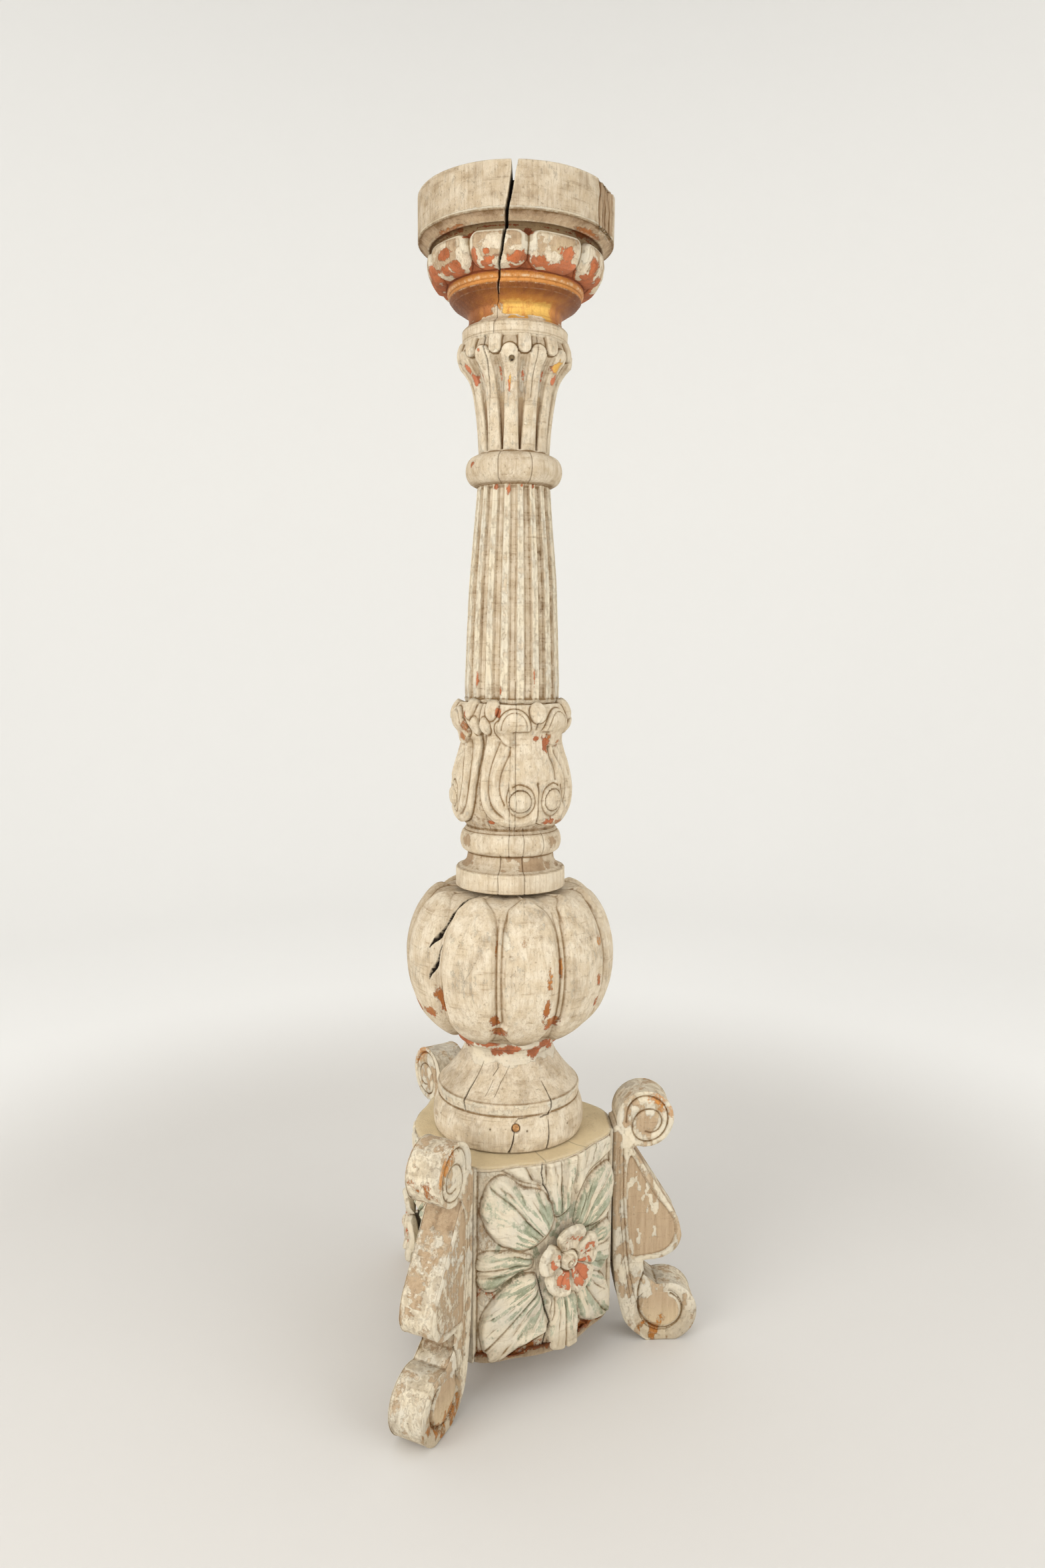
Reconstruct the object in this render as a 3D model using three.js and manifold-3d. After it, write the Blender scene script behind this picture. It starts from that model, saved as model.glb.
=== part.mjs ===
// Altar candlestick of carved, gessoed and gilded wood, with an iron pricket for the candle.
// Millimetres, +Z up. The origin is on the stem's axis, in the plane that the three feet stand on.
// The right leg lies along +X, and the other two at 120 degrees either way. The front faces -Y.
//
// From the top down: iron pricket, turned pan, carved stem, lobed ball, turned base moulding,
// three-sided block with an applied rosette on each side, and three scrolled legs nailed to it.
// The turned pieces are joined by round tenons in sockets, two of them crossed by a pin.

import * as THREE from 'three';
import { mergeVertices } from 'three/addons/utils/BufferGeometryUtils.js';
import Module from 'manifold-3d';

const wasm = await Module();
wasm.setup();

// ---------------------------------------------------------------- driving dimensions

const GAP = 0.3; // clearance between two pieces that touch
const DEGREE = Math.PI / 180;

const BLOCK_BOTTOM = 30;
const BLOCK_TOP = 186.5;
const BALL_BOTTOM = 268;
const STEM_BOTTOM = 385.5;
const STEM_TOP = 795.6;
const PAN_TOP = 899.5;

const PAN_RADIUS = 72.8;
const PAN_RIM = 8; // width of the rim round the shallow recess
const PAN_RECESS = 9; // depth of the recess that catches the wax
const RECESS_FLOOR = PAN_TOP - PAN_RECESS;
const GADROONS = 9;
const GADROON_DEPTH = 4;
const GADROON_TURN = -85 * DEGREE; // one valley between two gadroons

const PRICKET_TIP = 21; // how far the point stands above the rim
const PRICKET_SHANK = 3;
const TANG_LENGTH = 34; // driven into the pan
const COLLAR_RADIUS = 8;
const COLLAR_HEIGHT = 2.6;
const COLLAR_SEAT = 1; // depth of the counterbore that the collar sits in, and its width round it

const PAN_TENON_RADIUS = 13;
const PAN_TENON_LENGTH = 50;

const PETALS = 12;
const PETAL_DEPTH = 3.2;
const PETAL_TURN = -83 * DEGREE; // one hollow between two long petals
const FLUTES = 18;
const FLUTE_DEPTH = 2.6;
const FLUTE_TURN = -93 * DEGREE; // the middle of one flute

const STEM_TENON_RADIUS = 14;
const STEM_TENON_END = 197; // the tenon runs through the ball into the base moulding

const BALL_RADIUS = 82;
const BALL_LOBES = 10;
const LOBE_DEPTH = 4.5;
const LOBE_TURN = -100 * DEGREE; // one groove between two lobes

const BASE_TENON_RADIUS = 20;
const BASE_TENON_LENGTH = 55;

const BLOCK_RADIUS = 77.5;
const LAND_DISTANCE = 84.5; // from the axis to the flat land behind each leg
const LAND_WIDTH = 33;
const FACE_STEPS = 8; // straight steps in each half of a round face

const LEG_ANGLES = { right: 0, back: 120, front: -120 }; // degrees about the axis
const PANEL_ANGLES = { front: -57, right: 63, left: 183 };
const LEG_THICKNESS = 30.6;
const LEG_REACH = 170; // farther from the axis than any point of a leg
const NAIL_HEIGHTS = { upper: 166.5, lower: 64.5 }; // at the leg's two narrow waists
const WAISTS = { upper: 99, lower: 109.5 }; // where the nails' heads sit, from the axis
const NAIL_LENGTH = 46;
const NAIL_RADIUS = 1.9;
const NAIL_HEAD_RADIUS = 4;
const NAIL_HEAD_HEIGHT = 1.6;

const ROSETTE_HEIGHT = 105; // of its centre above the floor
const ROSETTE_RADIUS = 28;
const ROSETTE_PETALS = 5;
const ROSETTE_STUB_RADIUS = 6;
const ROSETTE_STUB_LENGTH = 12;

const CAPITAL_NAIL = { angle: -96.5, height: 778, radius: 2.3, from: 5, to: 38 };
const BASE_PEG = { angle: -87, height: 207.5, radius: 3, from: 4, to: 60.5 };

const TURNED_SIDES = 72; // facets round the pan and the stem: 8 per gadroon, 4 per flute
const BALL_SIDES = 60;
const PLAIN_SIDES = 48;
const PIN_SIDES = 12;
const ARC_STEPS = 2;

// ---------------------------------------------------------------- finishes

const finish = (color, roughness, metalness = 0) => () =>
  new THREE.MeshStandardMaterial({ color, roughness, metalness });
const bleachedWood = finish(0xdccbb0, 0.85);
const paintedWood = finish(0xc9b596, 0.8);
const peg = finish(0xb98d5a, 0.75);
const roseBole = finish(0xd9a184, 0.8);
const iron = finish(0x4a3a30, 0.65, 0.8);

// ---------------------------------------------------------------- geometry helpers

const through = (...points) => points.map(([x, y]) => new THREE.Vector2(x, y));

// A turned body about +Z from an outline of (radius, height), drawn from the bottom up.
function turned(outline, sides = TURNED_SIDES, turn = 0) {
  const quarter = Math.PI / 2;
  const geometry = new THREE.LatheGeometry(outline.getPoints(ARC_STEPS), sides, turn + quarter);
  return geometry.rotateX(quarter);
}

// Moves the surface of a turned body towards its axis by depth(angle, height).
function carve(geometry, depth) {
  const position = geometry.attributes.position;
  for (let i = 0; i < position.count; i++) {
    const x = position.getX(i);
    const y = position.getY(i);
    const radius = Math.hypot(x, y);
    if (radius === 0) continue;
    const scale = 1 - depth(Math.atan2(y, x), position.getZ(i)) / radius;
    position.setX(i, x * scale);
    position.setY(i, y * scale);
  }
  return geometry;
}

// 1 in the middle between two heights, falling smoothly to 0 at both.
function swell(height, low, high) {
  const t = (height - low) / (high - low);
  return t <= 0 || t >= 1 ? 0 : Math.sin(Math.PI * t);
}

// 1 at each of a number of evenly spaced valleys round the axis, 0 halfway between them.
function valleys(angle, count, turn, sharpness = 1) {
  return Math.pow(0.5 + 0.5 * Math.cos(count * (angle - turn)), sharpness);
}

function toSolid(geometry) {
  const bare = geometry.clone();
  bare.deleteAttribute('normal');
  bare.deleteAttribute('uv');
  const merged = mergeVertices(bare, 1e-4);
  const vertProperties = new Float32Array(merged.attributes.position.array);
  const triVerts = new Uint32Array(merged.index.array);
  return new wasm.Manifold(new wasm.Mesh({ numProp: 3, vertProperties, triVerts }));
}

function toGeometry(solid) {
  const { vertProperties, triVerts } = solid.getMesh();
  const geometry = new THREE.BufferGeometry();
  geometry.setAttribute('position', new THREE.BufferAttribute(vertProperties, 3));
  geometry.setIndex(new THREE.BufferAttribute(triVerts, 1));
  geometry.computeVertexNormals();
  return geometry;
}

// The body less every cutter.
function cut(body, ...cutters) {
  const solid = cutters.reduce((rest, cutter) => rest.subtract(toSolid(cutter)), toSolid(body));
  return toGeometry(solid);
}

// A round bore or pin about +Z between two heights.
function rod(radius, low, high, sides = PIN_SIDES) {
  const geometry = new THREE.CylinderGeometry(radius, radius, high - low, sides);
  return geometry.rotateX(Math.PI / 2).translate(0, 0, (low + high) / 2);
}

// A body about +Z laid down so that its +Z points away from the axis, at a height and an angle.
function outward(geometry, angle, height) {
  return geometry.rotateY(Math.PI / 2).translate(0, 0, height).rotateZ(angle * DEGREE);
}

function piece(name, geometry, material) {
  const mesh = new THREE.Mesh(geometry, material());
  mesh.name = name;
  return mesh;
}

// The hole for a cross pin, a clearance wider and longer than the pin at its inner end.
function crossHole({ angle, height, radius, from }) {
  return outward(rod(radius + GAP, from - GAP, BALL_RADIUS), angle, height);
}

// ---------------------------------------------------------------- pan and pricket

// Drum with a recess above, a ring of gadroons below it, then a gilded cove and a fillet.
function panBody() {
  const fillet = 39.5;
  const outline = new THREE.Path();
  outline.moveTo(0, STEM_TOP + GAP - PAN_TENON_LENGTH);
  outline.lineTo(PAN_TENON_RADIUS, STEM_TOP + GAP - PAN_TENON_LENGTH);
  outline.lineTo(PAN_TENON_RADIUS, STEM_TOP + GAP);
  outline.lineTo(fillet, STEM_TOP + GAP);
  outline.lineTo(fillet, 805);
  outline.lineTo(37.6, 806);
  outline.bezierCurveTo(33.6, 812, 34.8, 819, 42.6, 821);
  outline.lineTo(49.4, 829);
  outline.splineThru(through([56, 834], [62, 841], [64.8, 850], [62, 858]));
  outline.lineTo(PAN_RADIUS, 868);
  outline.lineTo(PAN_RADIUS, PAN_TOP - 1);
  outline.lineTo(PAN_RADIUS - 1, PAN_TOP);
  outline.lineTo(PAN_RADIUS - PAN_RIM, PAN_TOP);
  outline.lineTo(PAN_RADIUS - PAN_RIM - 2, RECESS_FLOOR);
  outline.lineTo(0, RECESS_FLOOR);
  const drum = carve(turned(outline, TURNED_SIDES, GADROON_TURN), (angle, height) =>
    GADROON_DEPTH * swell(height, 829, 859) * valleys(angle, GADROONS, GADROON_TURN, 3));
  const tangHole = rod(PRICKET_SHANK + GAP, RECESS_FLOOR - TANG_LENGTH, PAN_TOP);
  const collarSeat = rod(COLLAR_RADIUS + COLLAR_SEAT, RECESS_FLOOR - COLLAR_SEAT, PAN_TOP, 24);
  return cut(drum, tangHole, collarSeat, crossHole(CAPITAL_NAIL));
}

// Forged spike with a tang below its collar.
function pricketBody() {
  const seat = RECESS_FLOOR - COLLAR_SEAT + GAP;
  const outline = new THREE.Path();
  outline.moveTo(0, seat - TANG_LENGTH + 1);
  outline.lineTo(PRICKET_SHANK * 0.5, seat - TANG_LENGTH + 1);
  outline.lineTo(PRICKET_SHANK, seat - TANG_LENGTH / 2);
  outline.lineTo(PRICKET_SHANK, seat);
  outline.lineTo(COLLAR_RADIUS, seat);
  outline.lineTo(COLLAR_RADIUS, seat + COLLAR_HEIGHT * 0.6);
  outline.lineTo(PRICKET_SHANK * 1.4, seat + COLLAR_HEIGHT);
  outline.lineTo(0.6, PAN_TOP + PRICKET_TIP);
  outline.lineTo(0, PAN_TOP + PRICKET_TIP);
  return turned(outline, PIN_SIDES);
}

// ---------------------------------------------------------------- stem

// Leaf capital, ring, fluted shaft, acanthus vase, torus, neck and disc, on one long tenon.
function stemBody() {
  const outline = new THREE.Path();
  outline.moveTo(0, STEM_TENON_END);
  outline.lineTo(STEM_TENON_RADIUS, STEM_TENON_END);
  outline.lineTo(STEM_TENON_RADIUS, STEM_BOTTOM);
  outline.lineTo(43.2, STEM_BOTTOM);
  outline.lineTo(43.2, 399);
  outline.quadraticCurveTo(35, 402, 34.2, 410);
  outline.absarc(31.9, 422, 8, -80 * DEGREE, 80 * DEGREE);
  outline.quadraticCurveTo(52, 452, 46.5, 470);
  outline.lineTo(39, 499);
  outline.lineTo(45, 517);
  outline.lineTo(36.6, 534);
  outline.lineTo(36.5, 550);
  outline.lineTo(31.5, 644);
  outline.lineTo(27.7, 692);
  outline.absarc(26, 704, 10.5, -80 * DEGREE, 80 * DEGREE);
  outline.lineTo(26, 718);
  outline.quadraticCurveTo(28, 755, 42.3, 786);
  outline.lineTo(40.3, STEM_TOP);
  outline.lineTo(0, STEM_TOP);
  const shaft = carve(turned(outline, TURNED_SIDES, FLUTE_TURN), (angle, height) =>
    FLUTE_DEPTH * Math.sqrt(swell(height, 534, 692)) * valleys(angle, FLUTES, FLUTE_TURN)
    + PETAL_DEPTH * swell(height, 714, 793) * valleys(angle, PETALS, PETAL_TURN, 2));
  const socket = rod(PAN_TENON_RADIUS + GAP, STEM_TOP - PAN_TENON_LENGTH - 1, STEM_TOP + 1, 24);
  return cut(shaft, socket, crossHole(CAPITAL_NAIL), crossHole(BASE_PEG));
}

// ---------------------------------------------------------------- ball and base moulding

// Melon-shaped knop with a flat collar at each end and a bore for the stem's tenon.
function ballBody() {
  const bore = STEM_TENON_RADIUS + GAP;
  const low = BALL_BOTTOM + GAP;
  const high = STEM_BOTTOM - GAP;
  const outline = new THREE.Path();
  outline.moveTo(bore, low);
  outline.lineTo(41, low);
  outline.lineTo(52, 270.5);
  outline.splineThru(through([70.4, 287], [80.7, 314], [81.5, 341], [73, 368]));
  outline.quadraticCurveTo(66, 379, 55, high - 1);
  outline.lineTo(50, high);
  outline.lineTo(bore, high);
  outline.lineTo(bore, low);
  return carve(turned(outline, BALL_SIDES, LOBE_TURN), (angle, height) =>
    LOBE_DEPTH * swell(height, 271, 384) * valleys(angle, BALL_LOBES, LOBE_TURN, 3));
}

// Collar, neck and flared foot, bored for the stem's tenon, with its own tenon below.
function baseMouldingBody() {
  const seat = BLOCK_TOP + GAP;
  const outline = new THREE.Path();
  outline.moveTo(0, seat - BASE_TENON_LENGTH);
  outline.lineTo(BASE_TENON_RADIUS, seat - BASE_TENON_LENGTH);
  outline.lineTo(BASE_TENON_RADIUS, seat);
  outline.lineTo(59, seat);
  outline.quadraticCurveTo(62.5, 200, 57.5, 212);
  outline.lineTo(55.6, 215);
  outline.lineTo(57, 217);
  outline.lineTo(56.5, 224.5);
  outline.quadraticCurveTo(39, 242, 35.5, 254);
  outline.quadraticCurveTo(36, 260, 41, 262);
  outline.lineTo(41, BALL_BOTTOM);
  outline.lineTo(0, BALL_BOTTOM);
  const bore = rod(STEM_TENON_RADIUS + GAP, STEM_TENON_END - GAP, BALL_BOTTOM + 1, 24);
  return cut(turned(outline, PLAIN_SIDES), bore, crossHole(BASE_PEG));
}

// ---------------------------------------------------------------- three-sided block

// Plan of the block: three round faces that flare out at their sides to the flat lands behind the
// legs. The land itself is the straight line from the end of one face to the start of the next.
function blockPlan() {
  const cornerRadius = Math.hypot(LAND_DISTANCE, LAND_WIDTH / 2);
  const halfFace = 60 - Math.atan2(LAND_WIDTH / 2, LAND_DISTANCE) / DEGREE;
  const points = [];
  for (const legAngle of Object.values(LEG_ANGLES)) {
    for (let i = -FACE_STEPS; i <= FACE_STEPS; i++) {
      const share = i / FACE_STEPS;
      const flare = THREE.MathUtils.smoothstep(Math.abs(share), 0.5, 1);
      const radius = BLOCK_RADIUS + flare * (cornerRadius - BLOCK_RADIUS);
      const angle = (legAngle + 60 + share * halfFace) * DEGREE;
      points.push(new THREE.Vector2(radius * Math.cos(angle), radius * Math.sin(angle)));
    }
  }
  return new THREE.Shape(points);
}

function blockBody() {
  const height = BLOCK_TOP - BLOCK_BOTTOM;
  const block = new THREE.ExtrudeGeometry(blockPlan(), { depth: height, bevelEnabled: false });
  block.translate(0, 0, BLOCK_BOTTOM);
  const socket = rod(BASE_TENON_RADIUS + GAP, BLOCK_TOP - BASE_TENON_LENGTH - 1, BLOCK_TOP + 1, 24);
  const beyond = LAND_DISTANCE + 5; // cutters end clear of the block
  const nailHole = () => rod(NAIL_RADIUS + GAP, 50, beyond);
  const nailHoles = Object.values(LEG_ANGLES).flatMap((angle) =>
    Object.values(NAIL_HEIGHTS).map((height) => outward(nailHole(), angle, height)));
  const stubHole = () =>
    rod(ROSETTE_STUB_RADIUS + GAP, BLOCK_RADIUS - ROSETTE_STUB_LENGTH - 1, beyond, 16);
  const stubHoles = Object.values(PANEL_ANGLES).map((angle) =>
    outward(stubHole(), angle, ROSETTE_HEIGHT));
  return cut(block, socket, ...nailHoles, ...stubHoles);
}

// Five-petalled flower about a round bud, on a stub that is glued into the block.
function rosetteBody() {
  const outline = new THREE.Path();
  const seat = BLOCK_RADIUS + GAP;
  outline.moveTo(0, seat - ROSETTE_STUB_LENGTH);
  outline.lineTo(ROSETTE_STUB_RADIUS, seat - ROSETTE_STUB_LENGTH);
  outline.lineTo(ROSETTE_STUB_RADIUS, seat);
  outline.lineTo(ROSETTE_RADIUS * 0.75, seat);
  outline.lineTo(ROSETTE_RADIUS, seat + 4);
  outline.lineTo(ROSETTE_RADIUS - 1, seat + 7);
  outline.lineTo(8, seat + 3.5);
  outline.absarc(0, seat + 4, 7, 0, Math.PI / 2);
  const notch = 3.5; // depth of the notches between the petals
  return carve(turned(outline, ROSETTE_PETALS * 4), (angle, height) =>
    notch * swell(height, seat - 0.1, seat + 8) * valleys(angle, ROSETTE_PETALS, 0, 2));
}

// ---------------------------------------------------------------- legs and their nails

// Outline of a leg in (distance from the axis, height): a scroll at the top, a straight-backed
// belly below it, and a larger scroll that it stands on.
function legOutline() {
  const topScroll = { x: 111, z: 193, radius: 23.6 };
  const footScroll = { x: 132, z: 24.7, radius: 26 };
  const inner = LAND_DISTANCE + GAP;
  const shape = new THREE.Shape();
  shape.moveTo(inner, BLOCK_TOP);
  shape.lineTo(inner + 1, 109);
  shape.lineTo(87.2, 67);
  shape.bezierCurveTo(91, 42, 96, 12, 116, 0);
  shape.absarc(footScroll.x, footScroll.z, footScroll.radius, -71.8 * DEGREE, 108 * DEGREE);
  shape.lineTo(113, 58);
  shape.lineTo(112, 71);
  shape.bezierCurveTo(134, 72, 146, 84, 142.5, 98);
  shape.lineTo(140, 108);
  shape.lineTo(101.5, 168.5);
  shape.absarc(topScroll.x, topScroll.z, topScroll.radius, -104 * DEGREE, 192 * DEGREE);
  return shape;
}

// Nail hole through a leg, wide enough outside the waist for the nail's head.
function waistHole(height, waist) {
  const shank = outward(rod(NAIL_RADIUS + GAP, LAND_DISTANCE - 5, waist), 0, height);
  const head = outward(rod(NAIL_HEAD_RADIUS + GAP, waist, LEG_REACH), 0, height);
  return [shank, head];
}

function legBody() {
  const geometry = new THREE.ExtrudeGeometry(legOutline(), {
    depth: LEG_THICKNESS,
    curveSegments: 6,
    bevelEnabled: false,
  });
  geometry.rotateX(Math.PI / 2).translate(0, LEG_THICKNESS / 2, 0);
  const holes = Object.keys(NAIL_HEIGHTS).flatMap((where) =>
    waistHole(NAIL_HEIGHTS[where], WAISTS[where]));
  return cut(geometry, ...holes);
}

// Forged nail about +Z, point down, with its head's underside at the origin.
function nailBody() {
  const outline = new THREE.Path();
  outline.moveTo(0, -NAIL_LENGTH);
  outline.lineTo(0.7, -NAIL_LENGTH);
  outline.lineTo(NAIL_RADIUS, -NAIL_LENGTH * 0.7);
  outline.lineTo(NAIL_RADIUS, 0);
  outline.lineTo(NAIL_HEAD_RADIUS, 0);
  outline.lineTo(NAIL_HEAD_RADIUS * 0.6, NAIL_HEAD_HEIGHT);
  outline.lineTo(0, NAIL_HEAD_HEIGHT);
  return turned(outline, 8);
}

// ---------------------------------------------------------------- assembly

const candlestick = new THREE.Group();
candlestick.name = 'altar_candlestick';

const crossPin = ({ angle, height, radius, from, to }, sides) =>
  outward(rod(radius, from, to, sides), angle, height);

candlestick.add(
  piece('pricket', pricketBody(), iron),
  piece('pan', panBody(), bleachedWood),
  piece('capital_nail', crossPin(CAPITAL_NAIL, 8), iron),
  piece('stem', stemBody(), bleachedWood),
  piece('ball', ballBody(), bleachedWood),
  piece('base_moulding', baseMouldingBody(), bleachedWood),
  piece('base_peg', crossPin(BASE_PEG, 10), peg),
  piece('base_block', blockBody(), paintedWood),
);

for (const [side, angle] of Object.entries(PANEL_ANGLES)) {
  const rosette = piece(`rosette_${side}`, outward(rosetteBody(), 0, ROSETTE_HEIGHT), roseBole);
  rosette.rotation.z = angle * DEGREE;
  candlestick.add(rosette);
}

for (const [side, angle] of Object.entries(LEG_ANGLES)) {
  const leg = new THREE.Group();
  leg.rotation.z = angle * DEGREE;
  leg.add(piece(`leg_${side}`, legBody(), paintedWood));
  for (const [where, height] of Object.entries(NAIL_HEIGHTS)) {
    const nail = piece(`leg_nail_${side}_${where}`, nailBody().rotateY(Math.PI / 2), iron);
    nail.position.set(WAISTS[where] + GAP, 0, height);
    leg.add(nail);
  }
  candlestick.add(leg);
}

export default candlestick;
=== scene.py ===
"""Altar candlestick in carved, gessoed and gilded wood, dressed round its CAD frame.

Shapes are worked out in millimetres and become metres when a mesh is made. Heights are above the
plane that the feet stand on. u is an angle in degrees about the stem's axis, 0 at the front of the
candlestick and growing to the right as seen from the front. Relief is millimetres along the surface
normal. Paint and wear are worked out as coverages from 0 to 1 and stored on the points, and the
materials break them up into flakes, grain, dirt and painted shade.
"""
import math

import bmesh
import bpy
import numpy as np
from mathutils import Matrix, Vector


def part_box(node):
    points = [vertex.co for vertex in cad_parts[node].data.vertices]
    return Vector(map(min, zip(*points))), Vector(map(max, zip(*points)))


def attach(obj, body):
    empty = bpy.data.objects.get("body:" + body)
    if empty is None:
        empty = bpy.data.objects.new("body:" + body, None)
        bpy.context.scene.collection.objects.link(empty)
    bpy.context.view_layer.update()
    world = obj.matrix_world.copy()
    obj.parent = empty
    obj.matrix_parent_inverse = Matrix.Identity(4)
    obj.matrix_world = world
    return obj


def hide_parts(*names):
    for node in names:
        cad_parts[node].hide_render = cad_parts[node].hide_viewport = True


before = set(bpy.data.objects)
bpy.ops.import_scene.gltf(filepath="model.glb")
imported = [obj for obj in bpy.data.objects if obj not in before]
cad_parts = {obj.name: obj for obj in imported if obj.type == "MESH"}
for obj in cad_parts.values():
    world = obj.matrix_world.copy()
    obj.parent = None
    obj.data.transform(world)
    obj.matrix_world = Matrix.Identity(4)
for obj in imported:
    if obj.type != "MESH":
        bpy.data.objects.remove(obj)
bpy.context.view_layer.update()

MM = 0.001
FRONT = -93.0  # where u is 0, in degrees about +Z from +X
GAP = 0.3  # clearance between pieces that touch
STEP = 0.8  # spacing of the rows of points along a turned outline
FINE = 0.6  # the same on tight curves and edges


def node_height(node, corner):
    """Height in millimetres of a CAD node's lowest (0) or highest (1) corner."""
    return round(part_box(node)[corner][2] / MM, 1)


BLOCK_BOTTOM = node_height("base_block", 0)
BLOCK_TOP = node_height("base_block", 1)
BALL_BOTTOM = round(node_height("ball", 0) - GAP, 1)
STEM_BOTTOM = round(node_height("ball", 1) + GAP, 1)
STEM_TOP = node_height("stem", 1)
STEM_TENON_END = node_height("stem", 0)
PAN_TOP = node_height("pan", 1)
RECESS_FLOOR = PAN_TOP - 9
PAN_RADIUS = 72.8
PEG_RADIUS = 3.0

# ------------------------------------------------------------------ numbers


def smooth(t):
    t = np.clip(t, 0, 1)
    return t * t * (3 - 2 * t)


def ramp(x, low, high):
    """0 at low, 1 at high, smooth between."""
    return smooth((x - low) / (high - low))


def band(x, low, high, edge):
    """1 between low and high, falling to 0 over the edge outside them."""
    return ramp(x, low - edge, low) * (1 - ramp(x, high, high + edge))


def hump(x, width):
    """1 at 0, falling smoothly to 0 at the width."""
    return np.exp(-((x / width) ** 2) * 2)


def wrap(angle, period=360.0):
    """An angle brought to within half a period of 0."""
    return (angle + period / 2) % period - period / 2


class Noise:
    """Smooth noise through space, 0 to 1, the same in every run."""

    CELLS = 32

    def __init__(self, seed):
        self.lattice = np.random.default_rng(seed).random((self.CELLS,) * 3)

    def __call__(self, points, size):
        place = points / np.asarray(size, float)
        cell = np.floor(place).astype(int)
        part = place - cell
        part = part * part * (3 - 2 * part)
        total = np.zeros(points.shape[:-1])
        for corner in np.ndindex(2, 2, 2):
            share = np.ones_like(total)
            for axis in range(3):
                share = share * (part[..., axis] if corner[axis] else 1 - part[..., axis])
            index = (cell + corner) % self.CELLS
            total += share * self.lattice[index[..., 0], index[..., 1], index[..., 2]]
        return total

    def layered(self, points, size, layers=3):
        size = np.asarray(size, float)
        parts = [self(points + 17.3 * i, size / 2**i) / 2**i for i in range(layers)]
        return sum(parts) / sum(1 / 2**i for i in range(layers))


NOISE = Noise(7)


def curve(points, steps=6, closed=False):
    """A smooth path through a few points."""
    p = np.array(points, float)
    count = len(p)
    out = []
    for i in range(count if closed else count - 1):
        if closed:
            a, b, c, d = (p[(i + k) % count] for k in (-1, 0, 1, 2))
        else:
            a, b, c, d = p[max(i - 1, 0)], p[i], p[i + 1], p[min(i + 2, count - 1)]
        for s in range(steps):
            t = s / steps
            out.append(0.5 * (2 * b + (c - a) * t + (2 * a - 5 * b + 4 * c - d) * t**2
                              + (3 * b - a - 3 * c + d) * t**3))
    if not closed:
        out.append(p[-1])
    return [tuple(q) for q in out]


FAR = 1e3


def near(path, x, y, scale=1.0, reach=14.0):
    """Millimetres from each point to a path, and how far along the path the nearest place is.

    x counts for scale millimetres each, so that angles can be used on a round surface.
    """
    xs = [p[0] for p in path]
    ys = [p[1] for p in path]
    widest = reach / np.maximum(scale, 1e-6)
    around = ((x > min(xs) - widest) & (x < max(xs) + widest)
              & (y > min(ys) - reach) & (y < max(ys) + reach))
    best = np.full(x.shape, FAR)
    along = np.zeros(x.shape)
    px, py = x[around], y[around]
    k = scale[around] if np.ndim(scale) else scale
    d_min = np.full(px.shape, FAR)
    a_min = np.zeros(px.shape)
    for i in range(len(path) - 1):
        ax, ay = (path[i][0] - px) * k, path[i][1] - py
        ex, ey = (path[i + 1][0] - path[i][0]) * k, path[i + 1][1] - path[i][1]
        t = np.clip(-(ax * ex + ay * ey) / (ex * ex + ey * ey + 1e-9), 0, 1)
        d = np.hypot(ax + t * ex, ay + t * ey)
        closer = d < d_min
        d_min = np.where(closer, d, d_min)
        a_min = np.where(closer, (i + t) / (len(path) - 1), a_min)
    best[around] = d_min
    along[around] = a_min
    return best, along


def depth_inside(outline, x, y, scale=1.0):
    """Millimetres inside a closed outline, negative outside it."""
    ring = list(outline) + [outline[0]]
    distance, _ = near(ring, x, y, scale)
    inside = np.zeros(x.shape, bool)
    for (x0, y0), (x1, y1) in zip(ring, ring[1:]):
        if y0 == y1:
            continue
        crosses = (y0 > y) != (y1 > y)
        inside ^= crosses & (x < (x1 - x0) * (y - y0) / (y1 - y0) + x0)
    return np.where(inside, distance, -distance)


def crack(path, x, y, scale):
    """How open a crack is at each point, from its path of (x, y, width) points: 1 inside, 0 outside."""
    distance, along = near([p[:2] for p in path], x, y, scale)
    width = np.interp(along * (len(path) - 1), range(len(path)), [p[2] for p in path])
    faint = np.clip(width / 0.7, 0.3, 1)  # a hairline never opens fully
    return faint * (1 - ramp(distance, width / 2 - 0.15, width / 2 + 0.3))


def widest(paths, x, y, scale):
    """The opening of the widest of several cracks at each point."""
    return np.max([crack(path, x, y, scale) for path in paths], axis=0)


# ------------------------------------------------------------------ coverages and meshes

PAINT = ("bole", "green", "gold", "bare")
# The first wear layer holds dirt and painted shade in lines, creases and hollows.
# dark is painted shade inside cracks, checks and holes.
WEAR = ("grime_and_shade", "chalk", "dark", "tone")


class Coat:
    """Coverages of paint and wear over the points of one piece."""

    def __init__(self, shape):
        self.layers = {name: np.zeros(shape) for name in PAINT + WEAR}

    def add(self, name, amount):
        self.layers[name] = self.layers[name] + amount

    def cover(self, name, amount):
        self.layers[name] = np.maximum(self.layers[name], amount)

    def clear(self, name, amount):
        self.layers[name] = self.layers[name] * (1 - np.clip(amount, 0, 1))

    def store(self, mesh):
        for label, names in (("paint", PAINT), ("wear", WEAR)):
            values = np.stack([self.layers[n].ravel() for n in names], 1)
            attribute = mesh.attributes.new(label, "FLOAT_COLOR", "POINT")
            attribute.data.foreach_set("color", np.clip(values, 0, 1).astype(np.float32).ravel())


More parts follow.
